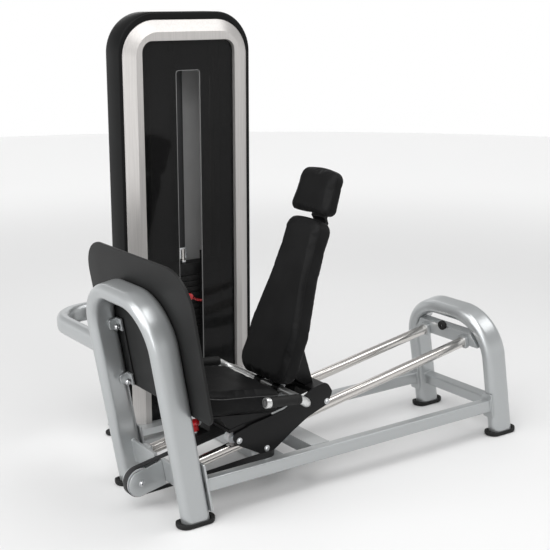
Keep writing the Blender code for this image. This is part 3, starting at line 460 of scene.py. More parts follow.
def even_loop(corners, step=0.004):
    """Points at even steps round a closed run of corners."""
    points = []
    for a, b in zip(corners, corners[1:] + corners[:1]):
        count = max(1, round((b - a).length / step))
        points += [a.lerp(b, k / count) for k in range(count)]
    return points


def bolts(name, places, body, radius=0.0085, washer=True, socket=True):
    """Button-head screws, each at (centre, outward axis)."""
    bm = bmesh.new()
    for centre, axis in places:
        axis = Vector(axis).normalized()
        lift = 0.0
        if washer:
            add_turned(bm, rounded_profile(radius * 1.35, 0.0016, 0.0004), centre, axis, 28)
            lift = 0.0016
        r, h = radius, radius * 0.62
        dome = [(r, lift), (r * 0.98, lift + h * 0.25), (r * 0.86, lift + h * 0.65), (r * 0.62, lift + h)]
        if socket:
            dome += [(r * 0.42, lift + h), (r * 0.38, lift + h * 0.45), (r * 0.05, lift + h * 0.40)]
        add_turned(bm, dome, centre, axis, 28)
    return put(name, bm, ZINC, body)


# ---------------------------------------------------------------- main frame

def floor_depth(s, z):
    """Height above the rails' line of the point at z on an axis square to the rails."""
    return (z - RAIL_Z - s * math.sin(RAIL_ANGLE)) / math.cos(RAIL_ANGLE)


def hoop(name, s, top):
    straight, knee = top - HOOP_CORNER, LEG_Y - HOOP_CORNER
    bottom = floor_depth(s, FOOT_FLOOR + GAP)
    side = [Vector((LEG_Y, bottom + (straight - bottom) * k / 6)) for k in range(6)]
    side += arc((knee, straight), HOOP_CORNER, 0, 90, 28)
    path = [on_rail(s, p.y, p.x) for p in side] + [on_rail(s, p.y, -p.x) for p in reversed(side)]
    floor = ((0, 0, FOOT_FLOOR + GAP), Z_AXIS)
    tube(name + "_tube", path, ALONG, flat_oval(OVAL_LENGTH, OVAL_WIDTH), SILVER, "frame",
         (name,), (floor, floor))


def shoe(name, s, y):
    """Rubber shoe round the end of a leg: low along its sides, with a lip that rises at each end."""
    height = 0.021
    x = on_rail(s, floor_depth(s, (FOOT_FLOOR + height) / 2)).x
    levels = [(0.134, 0.058, 0), (0.142, 0.066, 0.0015), (0.1475, 0.0715, 0.005), (0.149, 0.0725, 0.010),
              (0.149, 0.0715, height - 0.003), (0.1475, 0.070, height - 0.0008), (0.145, 0.068, height),
              (0.1185, 0.0640, height), (0.1160, 0.0625, height - 0.0012), (0.1145, 0.0612, FOOT_FLOOR)]
    bm = bmesh.new()
    rings = []
    for length, width, z in levels:
        ring = []
        for p in flat_oval(length, width, 12):
            dip = 0.0048 * (1 - min(1, abs(p.x) / 0.066) ** 4) * max(0, (z - 0.010) / (height - 0.010))
            ring.append(bm.verts.new((x + p.x, y + p.y, max(z - dip, min(z, FOOT_FLOOR)))))
        rings.append(ring)
    loft(bm, rings)
    put(name + "_shoe", bm, RUBBER, "frame", (name,))


def side_tube(name, y):
    """Box tube between the hoops, with a flange plate and a weld at each end."""
    mid, half = sum(SIDE_TUBE_Z) / 2, (SIDE_TUBE_Z[1] - SIDE_TUBE_Z[0]) / 2
    outline = rectangle(-0.020, 0.020, -half, half, 0.006, 5)
    front = HOOP_BACK + GAP
    rear = REAR_HOOP_S - OVAL_LENGTH / 2 - GAP
    planes = ((on_rail(front, 0), ALONG), (on_rail(rear, 0), ALONG))
    tube(name + "_section", [(0.05, y, mid), (1.40, y, mid)], Y_AXIS, outline, SILVER, "frame",
         (name,), planes)
    for end, s, depth, z in (("front", front, 0.008, (0.040, 0.222)),
                             ("rear", rear - 0.006, 0.006, (0.082, 0.188))):
        low, high = floor_depth(s, z[0]), floor_depth(s, z[1])
        plate = rectangle(-0.028, 0.028, low, high, 0.006, 4)
        slab(name + "_" + end + "_flange", plate, depth, on_rail(s, 0, y), Y_AXIS, ABOVE, SILVER, "frame",
             0.0012)
        face = s + depth if end == "front" else s
        middle_h = floor_depth(face, mid)
        box = [on_rail(face, middle_h + b * (half + 0.001), y + a * 0.021)
               for a, b in box_corners((-1, -1), (1, 1))]
        weld_bead(name + "_" + end + "_weld", even_loop(box), "frame")


def rails():
    for name, y in (("near_rail", -RAIL_Y), ("far_rail", RAIL_Y)):
        turned(name + "_bar", rounded_profile(RAIL_RADIUS, RAIL_END - RAIL_START, 0.0008),
               on_rail(RAIL_START, 0, y), ALONG, CHROME, "frame", (name,), 64)
        for end, s in (("front", RAIL_START), ("rear", RAIL_END - SOCKET_DEPTH)):
            square = rectangle(-SOCKET_HALF, SOCKET_HALF, -SOCKET_HALF, SOCKET_HALF, 0.006, 5)
            slab(name + "_" + end + "_socket", square, SOCKET_DEPTH, on_rail(s, 0, y), Y_AXIS, ABOVE, SILVER,
                 "frame", 0.0012)


def brace():
    """Flat-oval tube from the front hoop round to the side of the tower."""
    z, corner, end_y = 0.559, 0.150, 0.672
    x = on_rail(FRONT_HOOP_S, (z - RAIL_Z) / math.cos(RAIL_ANGLE)).x - 0.014
    path = [Vector((x, LEG_Y + 0.020, z)), Vector((x, LEG_Y + 0.10, z))]
    path += [Vector((p.x, p.y, z)) for p in arc((x + corner, end_y - corner), corner, 180, 90, 24)]
    path.append(Vector((TOWER_X - SHELL_HALF - GAP, end_y, z)))
    tube("brace_bend", path, Z_AXIS, flat_oval(0.074, 0.050), SILVER, "frame",
         ("brace_tube",))
    flange = rectangle(end_y - 0.027, end_y + 0.045, z - 0.052, z + 0.052, 0.010)
    slab("brace_flange", flange, 0.006, (TOWER_X - SHELL_HALF - 0.0065, 0, 0), Y_AXIS, Z_AXIS, SILVER,
         "frame")


def foot_plate():
    s, half = HOOP_BACK + GAP, 0.366
    low, high = 0.2430, 0.7850
    outline = fillet([(-half, low, 0.035), (half, low, 0.035), (half, high, 0.135), (-half, high, 0.135)],
                     18)
    slab("foot_plate_panel", outline, 0.010, on_rail(s, 0), Y_AXIS, ABOVE, PLATE_PLASTIC, "frame", 0.0030,
         ("foot_plate",), 5)
    places = []
    for side in (-1, 1):
        y = side * (LEG_INSIDE - 0.0425)
        for h in (0.272, 0.489):
            places.append((on_rail(s - 0.0305, h, y), Vector((0, -side, 0))))
    bolts("plate_strap_bolts", places, "frame", 0.0095)


def plate_strap(name, side):
    """Black strap behind the foot plate, and two silver lugs that bolt it to the inside of one leg."""
    reach = LEG_INSIDE - 0.0025
    y = reach if side > 0 else 0.040 - reach
    strap = rectangle(HOOP_BACK - 0.005, HOOP_BACK, 0.250, 0.512)
    slab(name + "_bar", strap, 0.040, on_rail(0, 0, y), ALONG, ABOVE, BLACK_STEEL, "frame", 0.001,
         (name,))
    far, near = HOOP_BACK - 0.0431, HOOP_BACK - 0.0054
    bm = bmesh.new()
    for low, high in ((0.250, 0.294), (0.466, 0.512)):
        block = fillet([(far, low + 0.004, 0.010), (near, low, 0.002), (near, high, 0.002),
                        (far, high - 0.004, 0.010)], 5)
        add_slab(bm, block, 0.007, on_rail(0, 0, y if side > 0 else y - 0.033), ALONG, ABOVE, 0.001)
        web = rectangle(near - 0.008, near, low, high, 0.001)
        add_slab(bm, web, 0.039, on_rail(0, 0, y - 0.0005), ALONG, ABOVE, 0.001)
    put(name + "_lugs", bm, SILVER, "frame")


def bumper():
    profile = [(0.014, 0), (0.0175, 0.002), (0.0195, 0.005), (0.020, 0.010), (0.020, 0.015),
               (0.0185, 0.0195), (0.016, 0.021), (0.007, 0.021), (0.0062, 0.014), (0.0005, 0.014)]
    turned("bumper_rubber", profile, on_rail(RAIL_END, 0.046), -ALONG, RUBBER, "frame",
           ("carriage_bumper",))
    bolts("bumper_screw", [(on_rail(RAIL_END - 0.0138, 0.046), -ALONG)], "frame", 0.0042, False)


def cross_welds():
    """Weld runs where the members meet the legs and the beam meets the side tubes."""
    for side, end in ((-1, "near"), (1, "far")):
        y = side * LEG_INSIDE
        low, high = (FRONT_PLATE_S[0], -0.066), (FRONT_PLATE_S[1], 0.025)
        plate = [on_rail(s, h, y) for s, h in box_corners(low, high)]
        weld_bead("front_member_weld_" + end, even_loop(plate), "frame", 0.0024)
        box = [on_rail(REAR_HOOP_S + s, h, y) for s, h in box_corners((-0.0225, -0.300), (0.0225, -0.250))]
        weld_bead("rear_member_weld_" + end, even_loop(box), "frame", 0.0026)
        y = side * (LEG_Y - 0.020)
        beam = [Vector((x, y, z)) for x, z in box_corners((0.530, 0.114), (0.610, 0.162))]
        weld_bead("centre_beam_weld_" + end, even_loop(beam), "frame", 0.0026)


def main_frame():
    hoop("front_hoop", FRONT_HOOP_S, FRONT_HOOP_TOP)
    hoop("rear_hoop", REAR_HOOP_S, REAR_HOOP_TOP)
    for end, s in (("front", FRONT_HOOP_S), ("rear", REAR_HOOP_S)):
        shoe(end + "_near_foot", s, -LEG_Y)
        shoe(end + "_far_foot", s, LEG_Y)
    side_tube("near_side_tube", -LEG_Y)
    side_tube("far_side_tube", LEG_Y)
    dress(("front_cross_member", "rear_cross_member", "rear_rail_beam", "centre_beam", "tower_link"), SILVER,
          0.0015)
    plate_strap("near_plate_strap", -1)
    plate_strap("far_plate_strap", 1)
    rails()
    brace()
    foot_plate()
    bumper()
    cross_welds()


# ---------------------------------------------------------------- belt drive

def low_centre():
    return Vector((TOWER_X, BELT_BACK_Y - LOW_PULLEY_R, BELT_LOW_Z + LOW_PULLEY_R))


def top_radius():
    return (BELT_BACK_Y - STACK_Y) / 2


def top_centre():
    return Vector((TOWER_X, (BELT_BACK_Y + STACK_Y) / 2, TOP_PULLEY_Z))


def redirect_centre():
    return Vector((TOWER_X - REDIRECT_R, REDIRECT_R, BELT_LOW_Z))


def stack_top():
    return STACK_BASE + (RESTING + LIFTED) * PLATE_PITCH + HEAD_HEIGHT


def pulley(name, centre, axis, radius, half):
    """Flanged nylon pulley with a dished web, a hub and a bearing."""
    rim = radius - BELT_THICKNESS / 2 - GAP
    well, hub = rim - 0.007, 0.015
    dish = min(0.010, half * 0.5)
    edge = [(hub * 0.55, half + 0.0006), (hub * 0.9, half + 0.0006), (hub, half - 0.0004)]
    if well - hub > 0.006:
        edge += [(hub + 0.001, half - dish), (well - 0.003, half - dish), (well, half - 0.001)]
    edge += [(rim + 0.0004, half), (rim + 0.0006, half - 0.0012), (rim, half - 0.0022)]
    profile = [(r, -h) for r, h in edge] + [(r, h) for r, h in reversed(edge)]
    turned(name + "_wheel", profile, centre, axis, NYLON, name, (name,), 64)


def front_fork():
    """Two tongues with round ends that hold the front pulley's bolt."""
    s, h = FRONT_PULLEY
    back = FRONT_PLATE_S[0] - GAP
    bm = bmesh.new()
    outline = arc((s, h), 0.0495, 250, 112, 36) + [Vector((back, h + 0.052)), Vector((back, h - 0.044))]
    for y in (0.0270, -0.0212):
        add_slab(bm, outline, 0.0056, on_rail(0, 0, y), ALONG, ABOVE, 0.0012)
    root = rectangle(back - 0.008, back, h - 0.044, h + 0.050)
    add_slab(bm, root, 0.0540, on_rail(0, 0, 0.0270), ALONG, ABOVE, 0.001)
    put("front_fork_tongues", bm, SILVER, "frame", ("front_pulley_fork",))
    ends = [(on_rail(s, h, -0.0270), -Y_AXIS), (on_rail(s, h, 0.0270), Y_AXIS)]
    bolts("front_fork_bolt", ends, "frame", 0.0092)


def quarter_twist(start, end, first, last, steps=24):
    """Stretch of belt that turns a quarter, mostly near its end, without its end points."""
    along = (end - start).normalized()
    stretch = []
    for k in range(1, steps):
        turn = Matrix.Rotation(first.angle(last) * (k / steps) ** 3, 3, first.cross(last))
        across = turn @ first
        stretch.append((start.lerp(end, k / steps), (across - along * across.dot(along)).normalized()))
    return stretch


def add_belt(bm, route, inset=0.0003):
    """Ribbon with softened edges along a route of (middle, direction of width)."""
    half, thick = BELT_WIDTH / 2 - inset, BELT_THICKNESS / 2 - inset / 2
    section = rectangle(-half, half, -thick, thick, 0.0009, 2)
    add_tube(bm, [point for point, across in route], [across for point, across in route], section)


def belt():
    """Three runs: the ones to the carriage and down to the stack ride on no body, the one between the pulleys
    rides on the frame.
    """
    s, h = FRONT_PULLEY
    pulled = [(on_rail(s + (0.0985 - s) * k / 40, h + FRONT_PULLEY_R), Y_AXIS) for k in range(41)]
    bm = bmesh.new()
    add_belt(bm, pulled)
    upper = put("belt_upper_run", bm, BELT, None)
    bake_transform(upper)

    at, low, top = redirect_centre(), low_centre(), top_centre()
    wrap = 270 + math.degrees(RAIL_ANGLE)
    fixed = [(on_rail(p.x, p.y), Y_AXIS) for p in arc((s, h), FRONT_PULLEY_R, 90, wrap, 40)]
    fixed += quarter_twist(fixed[-1][0], Vector((at.x, 0, BELT_LOW_Z)), Y_AXIS, Z_AXIS)
    fixed += [(Vector((p.x, p.y, BELT_LOW_Z)), Z_AXIS) for p in arc((at.x, at.y), REDIRECT_R, -90, 0, 20)]
    fixed += quarter_twist(fixed[-1][0], Vector((low.x, low.y, BELT_LOW_Z)), Z_AXIS, -X_AXIS)
    fixed += [(Vector((low.x, p.x, p.y)), -X_AXIS) for p in arc((low.y, low.z), LOW_PULLEY_R, -90, 0, 16)]
    fixed += [(Vector((top.x, p.x, p.y)), -X_AXIS) for p in arc((top.y, top.z), top_radius(), 0, 180, 28)]
    bm = bmesh.new()
    add_belt(bm, fixed)
    put("belt_middle_run", bm, BELT, "frame", ("drive_belt",))

    tip = Vector((TOWER_X, STACK_Y, stack_top() + 0.060))
    hung = [(fixed[-1][0].lerp(tip, k / 60), -X_AXIS) for k in range(61)]
    bm = bmesh.new()
    add_belt(bm, hung)
    lower = put("belt_stack_run", bm, BELT, None)
    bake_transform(lower)


def belt_drive():
    front_fork()
    pulley("front_pulley", on_rail(*FRONT_PULLEY), Y_AXIS, FRONT_PULLEY_R, 0.0185)
    pulley("redirect_pulley", redirect_centre(), Z_AXIS, REDIRECT_R, 0.0165)
    pulley("low_pulley", low_centre(), X_AXIS, LOW_PULLEY_R, 0.0175)
    pulley("top_pulley", top_centre(), X_AXIS, top_radius(), 0.0175)
    belt()
    clamp = rectangle(-0.0195, 0.0195, -0.004, 0.044, 0.004)
    at = on_rail(0.0700, FRONT_PULLEY[1] + FRONT_PULLEY_R + 0.004) - ALONG * 0.02
    slab("belt_clamp", clamp, 0.009, at, Y_AXIS, ALONG, ZINC, "carriage", 0.001)


# ---------------------------------------------------------------- weight tower

def arch(half, bottom, top, corner, steps=18):
    return fillet([(TOWER_X - half, bottom, 0), (TOWER_X + half, bottom, 0),
                   (TOWER_X + half, top, corner), (TOWER_X - half, top, corner)], steps)


def open_loft(bm, rounds):
    """Skins arches of equal point counts, leaving their floor edges open."""
    rings = [[bm.verts.new((p.x, y, p.y)) for p in outline] for outline, y in rounds]
    for a, b in zip(rings, rings[1:]):
        for k in range(1, len(a)):
            bm.faces.new((a[k], a[(k + 1) % len(a)], b[(k + 1) % len(a)], b[k]))
    return rings


def shell():
    """Deep moulded cover: rounded front rim, sides that tuck in at the back, and its inner wall."""
    front, back = SHELL_Y
    bottom = BASE_TOP + GAP
    room = arch(SHELL_HALF - SHELL_RIM, bottom, SHELL_TOP - SHELL_BROW, SHELL_CORNER - SHELL_RIM)
    rounds = [(room, back - 0.005), (room, front + 0.004)]
    for inset, y in ((SHELL_RIM - 0.0015, front + 0.0008), (SHELL_RIM - 0.004, front), (0.004, front),
                     (0.0012, front + 0.0010), (0.0, front + 0.0045)):
        brow = SHELL_BROW * inset / SHELL_RIM
        rounds.append((arch(SHELL_HALF - inset, bottom, SHELL_TOP - brow, SHELL_CORNER - inset), y))
    radius = 0.030
    for k in range(9):
        angle = math.radians(90 * k / 8)
        inset = radius * (1 - math.cos(angle))
        rounds.append((arch(SHELL_HALF - inset, bottom, SHELL_TOP - inset, SHELL_CORNER - inset),
                       back - radius * (1 - math.sin(angle))))
    bm = bmesh.new()
    rings = open_loft(bm, rounds)
    bm.faces.new(rings[0])
    bm.faces.new(rings[-1])
    put("shell_cover", bm, SHELL_PLASTIC, "frame", ("tower_shell",), 50)


def bezel():
    """Brushed arch: a bevel all round, a crisp crease, a flat band and a rounded window edge."""
    half, top = SHELL_HALF - SHELL_RIM - GAP, SHELL_TOP - SHELL_BROW - GAP
    corner, bottom = SHELL_CORNER - SHELL_RIM, BASE_TOP + GAP
    rounds = [(arch(half, bottom, top, corner), y) for y in (BEZEL_BACK, SHELL_Y[0] + 0.001)]
    depth = SHELL_Y[0] - BEZEL_FRONT
    for share in (0.0, 0.5, 1.0):
        inset = BEZEL_BEVEL * share + 0.001
        rounds.append((arch(half - inset, bottom, top - inset, corner - inset), SHELL_Y[0] - depth * share))
    for inset, y in ((0.0015, BEZEL_FRONT), (0.0005, BEZEL_FRONT + 0.0006), (0.0, BEZEL_FRONT + 0.002)):
        rounds.append((arch(WINDOW_HALF + inset, bottom, WINDOW_TOP + inset, 0.045 + inset), y))
    rounds.append((arch(WINDOW_HALF, bottom, WINDOW_TOP, 0.045), BEZEL_BACK))
    bm = bmesh.new()
    rings = open_loft(bm, rounds + rounds[:1])
    bmesh.ops.remove_doubles(bm, verts=[v for ring in (rings[0], rings[-1]) for v in ring], dist=1e-5)
    floor = [v for v in bm.verts if abs(v.co.z - bottom) < 1e-5]
    for side in (-1, 1):
        edge = [v for v in floor if (v.co.x - TOWER_X) * side > 0]
        centre = sum((v.co for v in edge), Vector()) / len(edge)
        edge.sort(key=lambda v: math.atan2(v.co.y - centre.y, v.co.x - centre.x))
        bm.faces.new(edge)
    put("bezel_arch", bm, ALUMINIUM, "frame", ("tower_bezel",), 12)


def weight_plate(bm, z, top, head=False):
    """One plate with chamfered rims and a pin hole seat on its front."""
    deep = STACK_DEPTH / 2
    outline = rectangle(TOWER_X - STACK_HALF, TOWER_X + STACK_HALF, STACK_Y - deep, STACK_Y + deep, 0.006, 4)
    add_slab(bm, outline, top - z, (0, 0, z), X_AXIS, Y_AXIS, 0.0016, 2)
    if not head:
        add_turned(bm, [(0.010, 0), (0.010, 0.0008), (0.0065, 0.0012), (0.006, 0.0001)],
                   (TOWER_X, STACK_Y - deep, (z + top) / 2), -Y_AXIS, 20)


def weight_stack():
    for name, first, count, body in (("resting", 0, RESTING, "frame"),
                                     ("lifted", RESTING, LIFTED, "weight_stack")):
        bm = bmesh.new()
        for k in range(first, first + count):
            z = STACK_BASE + k * PLATE_PITCH
            weight_plate(bm, z + 0.0006, z + PLATE_PITCH - 0.0012)
        put(name + "_iron_plates", bm, IRON, body, (name + "_weight_plates",))
    z = STACK_BASE + (RESTING + LIFTED) * PLATE_PITCH
    bm = bmesh.new()
    weight_plate(bm, z + 0.0006, z + HEAD_HEIGHT, True)
    for offset in (-GUIDE_OFFSET, GUIDE_OFFSET):
        at = (TOWER_X + offset, STACK_Y, z + HEAD_HEIGHT)
        add_turned(bm, rounded_profile(0.020, 0.010, 0.002), at, Z_AXIS, 28)
    put("head_block", bm, IRON, "weight_stack", ("head_plate",))
    spindle = rounded_profile(0.011, stack_top() - 0.230, 0.001)
    turned("selector_spindle", spindle, (TOWER_X, STACK_Y, 0.290), Z_AXIS, CHROME, "weight_stack",
           ("selector_rod",))
    bm = bmesh.new()
    add_turned(bm, rounded_profile(0.0155, 0.012, 0.001), (TOWER_X, STACK_Y, stack_top()), Z_AXIS, 6)
    add_slab(bm, rectangle(-0.021, 0.021, 0.018, 0.066, 0.004), 0.012,
             (TOWER_X, STACK_Y + 0.006, stack_top()), X_AXIS, Z_AXIS, 0.001)
    put("belt_shackle", bm, ZINC, "weight_stack")
    pin_z = STACK_BASE + (RESTING + 0.5) * PLATE_PITCH
    at = (TOWER_X, STACK_Y, pin_z)
    turned("pin_shank", rounded_profile(0.0052, 0.042, 0.0008), at, -Y_AXIS, ZINC, "selector_pin")
    knob = [(0.0060, 0.0368), (0.0105, 0.0376), (0.0122, 0.0410), (0.0136, 0.0460), (0.0150, 0.0520),
            (0.0150, 0.0580), (0.0135, 0.0620), (0.0105, 0.0640), (0.0040, 0.0645)]
    turned("pin_knob", knob, at, -Y_AXIS, RED, "selector_pin", ("selector_pin",))
    lanyard(Vector((TOWER_X + 0.010, STACK_Y - 0.062, pin_z - 0.004)))


def lanyard(start):
    """Short coiled red lead from the pin's knob to an eye on the plate that the pin is in.

    The lead itself rides on no body; its eye rides with the weight stack."""
    end = Vector((TOWER_X + 0.104, STACK_Y - STACK_DEPTH / 2 - 0.0052, start.z - 0.006))
    low = Vector((TOWER_X + 0.070, STACK_Y - 0.060, start.z - 0.036))
    points = []
    turns, steps = 15, 15 * 9
    for k in range(steps + 1):
        t = k / steps
        centre = start * (1 - t) ** 2 + low * 2 * t * (1 - t) + end * t * t
        angle = 2 * math.pi * turns * t
        points.append(centre + Vector((math.cos(angle) * 0.3, math.sin(angle), math.cos(angle))) * 0.0042)
    bm = bmesh.new()
    add_tube(bm, points, Y_AXIS + X_AXIS * 0.3, circle(0.0014, 6))
    made = put("pin_lanyard", bm, RED, None, sharp=180)
    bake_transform(made)
    turned("lanyard_eye", [(0.0085, 0), (0.0085, 0.0035), (0.0060, 0.0050), (0.0010, 0.0050)],
           end + Y_AXIS * 0.004, -Y_AXIS, RED, "weight_stack", steps=24)


def tower_inside():
    dress(("tower_frame",), BLACK_STEEL, 0.0015)
    for name, offset in (("left_guide_rod", -GUIDE_OFFSET), ("right_guide_rod", GUIDE_OFFSET)):
        turned(name + "_bar", rounded_profile(GUIDE_RADIUS, 1.3912, 0.0006),
               (TOWER_X + offset, STACK_Y, 0.2384), Z_AXIS, CHROME, "frame", (name,))
    dress(("stack_cushion",), RUBBER, 0.003)
    back = arch(SHELL_HALF - 0.032, BASE_TOP + 0.001, SHELL_TOP - 0.050, 0.120)
    slab("tower_liner", back, 0.003, (0, SHELL_Y[1] - 0.0055, 0), X_AXIS, Z_AXIS, LINER, "frame", 0)
    # Black strip behind the window just right of the slot, dark along that side of the slot from low on the
    # stack to above its top.
    slab("black_strip_by_slot", rectangle(TOWER_X + 0.063, TOWER_X + 0.083, 0.246, 0.745, 0.002), 0.0035,
         (0, STACK_Y - STACK_DEPTH / 2 - 0.0015, 0), X_AXIS, Z_AXIS, BLACK_STEEL, "frame", 0.001)


def slot_lining():
    """Polished edge of the window's slot, with rounded corners; its gloss is real and its lighter grey is a
    painted highlight along the slot.
    """
    low, high, half = 0.2505, 1.4995, SLOT_HALF - 0.0004
    depth = WINDOW_Y[1] - WINDOW_Y[0] + 0.0012
    rings = []
    bm = bmesh.new()
    for inset, y in ((0, 0), (0, depth), (0.0022, depth), (0.0022, 0)):
        inner = half - inset
        outline = rectangle(TOWER_X - inner, TOWER_X + inner, low + inset, high - inset, 0.0140 - inset, 8)
        rings.append([bm.verts.new((p.x, WINDOW_Y[0] - 0.0006 + y, p.y)) for p in outline])
    for a, b in zip(rings, rings[1:] + rings[:1]):
        bridge(bm, a, b)
    put("slot_lining", bm, EDGE, "frame")


def tower_shoe(name, x):
    """Low rubber shoe under one end of the tower's base."""
    levels = [(0.134, 0.056, 0), (0.143, 0.065, 0.0015), (0.149, 0.071, 0.004), (0.149, 0.071, 0.0105),
              (0.147, 0.069, 0.0126), (0.144, 0.066, 0.0130)]
    bm = bmesh.new()
    rings = [[bm.verts.new((x + p.x, 0.700 + p.y, z)) for p in flat_oval(length, width, 12)]
             for length, width, z in levels]
    loft(bm, rings)
    put(name + "_shoe", bm, RUBBER, "frame", (name,))


def tower():
    shell()
    bezel()
    slot_lining()
    dress(("tower_window",), ACRYLIC, 0.0008)
    tower_inside()
    weight_stack()
    dress(("tower_base",), SILVER, 0.002)
    for name, offset in (("tower_left_foot", -0.310), ("tower_right_foot", 0.310)):
        tower_shoe(name, TOWER_X + offset)


# ---------------------------------------------------------------- carriage

def cheek_outline(steps=8):
    corners = [(0.197, 0.262, 0.020), (0.285, 0.288, 0.10), (0.437, 0.314, 0.06), (0.474, 0.3385, 0.004),
               (0.508, 0.3385, 0.004), (0.562, 0.370, 0.03), (0.628, 0.384, 0.030), (0.656, 0.340, 0.020),
               (0.630, 0.293, 0.03), (0.540, 0.262, 0.10), (0.470, 0.222, 0.05), (0.386, 0.168, 0.030),
               (0.330, 0.164, 0.040), (0.222, 0.224, 0.030)]
    return fillet(corners, steps)


def cheeks():
    for name, y in (("near_side_plate", -SIDE_PLATE_Y), ("far_side_plate", SIDE_PLATE_Y)):
        slab(name + "_cheek", cheek_outline(), 2 * CHEEK_HALF, (0, y + CHEEK_HALF, 0), X_AXIS, Z_AXIS,
             BLACK_STEEL, "carriage", 0.0012, (name,))
        out = 1 if y > 0 else -1
        places = []
        for s, h in ((ROLLER_S[0], UPPER_AXLE), (ROLLER_S[1], UPPER_AXLE), (LOWER_ROLLER_S, LOWER_AXLE)):
            places.append((on_rail(s, h, y + out * CHEEK_HALF), Y_AXIS * out))
        bolts(name + "_axle_bolts", places, "carriage", 0.0088)


def roller(name, s, h, y, radius):
    out = 1 if y > 0 else -1
    stub = SIDE_PLATE_Y - CHEEK_HALF - abs(y) - GAP
    edge, half = radius + 0.0012, 0.014
    groove = [(radius + 0.0008 * abs(k / 5) ** 2.2, k * 0.0020) for k in range(-5, 6)]
    profile = [(0.010, -half - 0.001), (edge * 0.62, -half), (edge - 0.002, -half), (edge, -half + 0.002)]
    profile += groove + [(edge, half - 0.002), (edge - 0.002, half), (edge * 0.62, half)]
    profile += [(0.0082, half + 0.001), (0.008, stub)]
    turned(name + "_wheel", profile, on_rail(s, h, y), Y_AXIS * out, NYLON, name, (name,))


def rollers():
    for side, y in (("near", -RAIL_Y), ("far", RAIL_Y)):
        for end, s in zip(("front", "rear"), ROLLER_S):
            roller(end + "_" + side + "_roller", s, UPPER_AXLE, y, UPPER_ROLLER_R)
        roller("lower_" + side + "_roller", LOWER_ROLLER_S, LOWER_AXLE, y, LOWER_ROLLER_R)


def start_pin():
    at = on_rail(START_PIN_S, 0.0525)
    shank = rounded_profile(0.0072, 0.052, 0.0008)
    turned("start_pin_shank", shank, at - ABOVE * 0.042, ABOVE, ZINC, "start_pin")
    profile = [(0.0075, 0.006), (0.0125, 0.0075), (0.0138, 0.012), (0.0125, 0.024), (0.0150, 0.030),
               (0.0185, 0.034), (0.0190, 0.040), (0.0175, 0.0455), (0.0130, 0.0490), (0.004, 0.050)]
    turned("start_pin_knob", profile, at, ABOVE, RED, "start_pin", ("start_pin",))


def adjuster():
    """Flat bar with the row of start-position holes."""
    low, high = 0.0070, 0.0336
    bm = bmesh.new()
    add_slab(bm, rectangle(0.100, 0.590, low, high), 0.036, on_rail(0, 0, 0.018), ALONG, ABOVE, 0.0012)
    put("adjuster_rack", bm, BLACK_STEEL, "carriage", ("adjuster_bar",))
    bm = bmesh.new()
    for k in range(9):
        s = START_PIN_S - 0.040 + 0.040 * k
        if k != 1:
            add_turned(bm, [(0.0095, 0), (0.0095, 0.0005), (0.0078, 0.0006), (0.0076, 0.0001)],
                       on_rail(s, high), ABOVE, 28)
    put("adjuster_hole_rims", bm, ZINC, "carriage")


# ---------------------------------------------------------------- pads

def stuffed(name, outline, depth, origin, u, v, rounding, swell, node):
    """Pad blown up by cloth pressure from a slightly small shape, kept within swell of it."""
    origin, u, v = Vector(origin), Vector(u).normalized(), Vector(v).normalized()
    w = u.cross(v)
    bm = bmesh.new()
    small = 0.003
    inset = shrink(outline, small)
    add_slab(bm, inset, depth - 2 * small, origin + w * small, u, v, rounding, 4)
    made = put(name, bm, VINYL, None, sharp=180)
    inflate(made, swell, w)
    for vertex in made.data.vertices:
        height = (vertex.co - origin).dot(w)
        if height < 0.0008:
            vertex.co += w * (0.0008 - height)
    finer = made.modifiers.new("finer", "SUBSURF")
    finer.levels = finer.render_levels = 1
    made.data.shade_smooth()
    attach(made, "carriage")
    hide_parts(node)
    return made


def shrink(outline, distance):
    """Outline moved inwards by a distance, point by point."""
    count = len(outline)
    area = sum(outline[i - 1].x * outline[i].y - outline[i].x * outline[i - 1].y for i in range(count))
    sign = 1 if area > 0 else -1
    moved = []
    for i, point in enumerate(outline):
        along = (outline[(i + 1) % count] - outline[i - 1]).normalized()
        moved.append(point + Vector((-along.y, along.x)) * distance * sign)
    return moved


def inflate(made, swell, w):
    """Voxel remesh and pressure cloth; the sideways part of its movement is only partly kept."""
    scene = bpy.context.scene
    remesh = made.modifiers.new("remesh", "REMESH")
    remesh.mode = "VOXEL"
    remesh.voxel_size = CLOTH_VOXEL
    bake(made)
    rest = [vertex.co.copy() for vertex in made.data.vertices]
    cloth = made.modifiers.new("cloth", "CLOTH")
    cloth.settings.use_pressure = True
    cloth.settings.uniform_pressure_force = CLOTH_PRESSURE
    cloth.settings.effector_weights.gravity = 0
    cloth.settings.tension_stiffness = cloth.settings.compression_stiffness = 25
    cloth.settings.quality = 4
    for number in range(1, CLOTH_FRAMES + 1):
        scene.frame_set(number)
    bake(made)
    scene.frame_set(1)
    for vertex, start in zip(made.data.vertices, rest):
        move = vertex.co - start
        out = w * move.dot(w)
        move = out + (move - out) * KEPT_SIDEWAYS
        vertex.co = start + move
        if move.length > swell:
            vertex.co = start + move * (swell / move.length)


def bake(made):
    """Puts the evaluated mesh in place of the modifiers."""
    graph = bpy.context.evaluated_depsgraph_get()
    mesh = bpy.data.meshes.new_from_object(made.evaluated_get(graph))
    made.modifiers.clear()
    old, made.data = made.data, mesh
    bpy.data.meshes.remove(old)


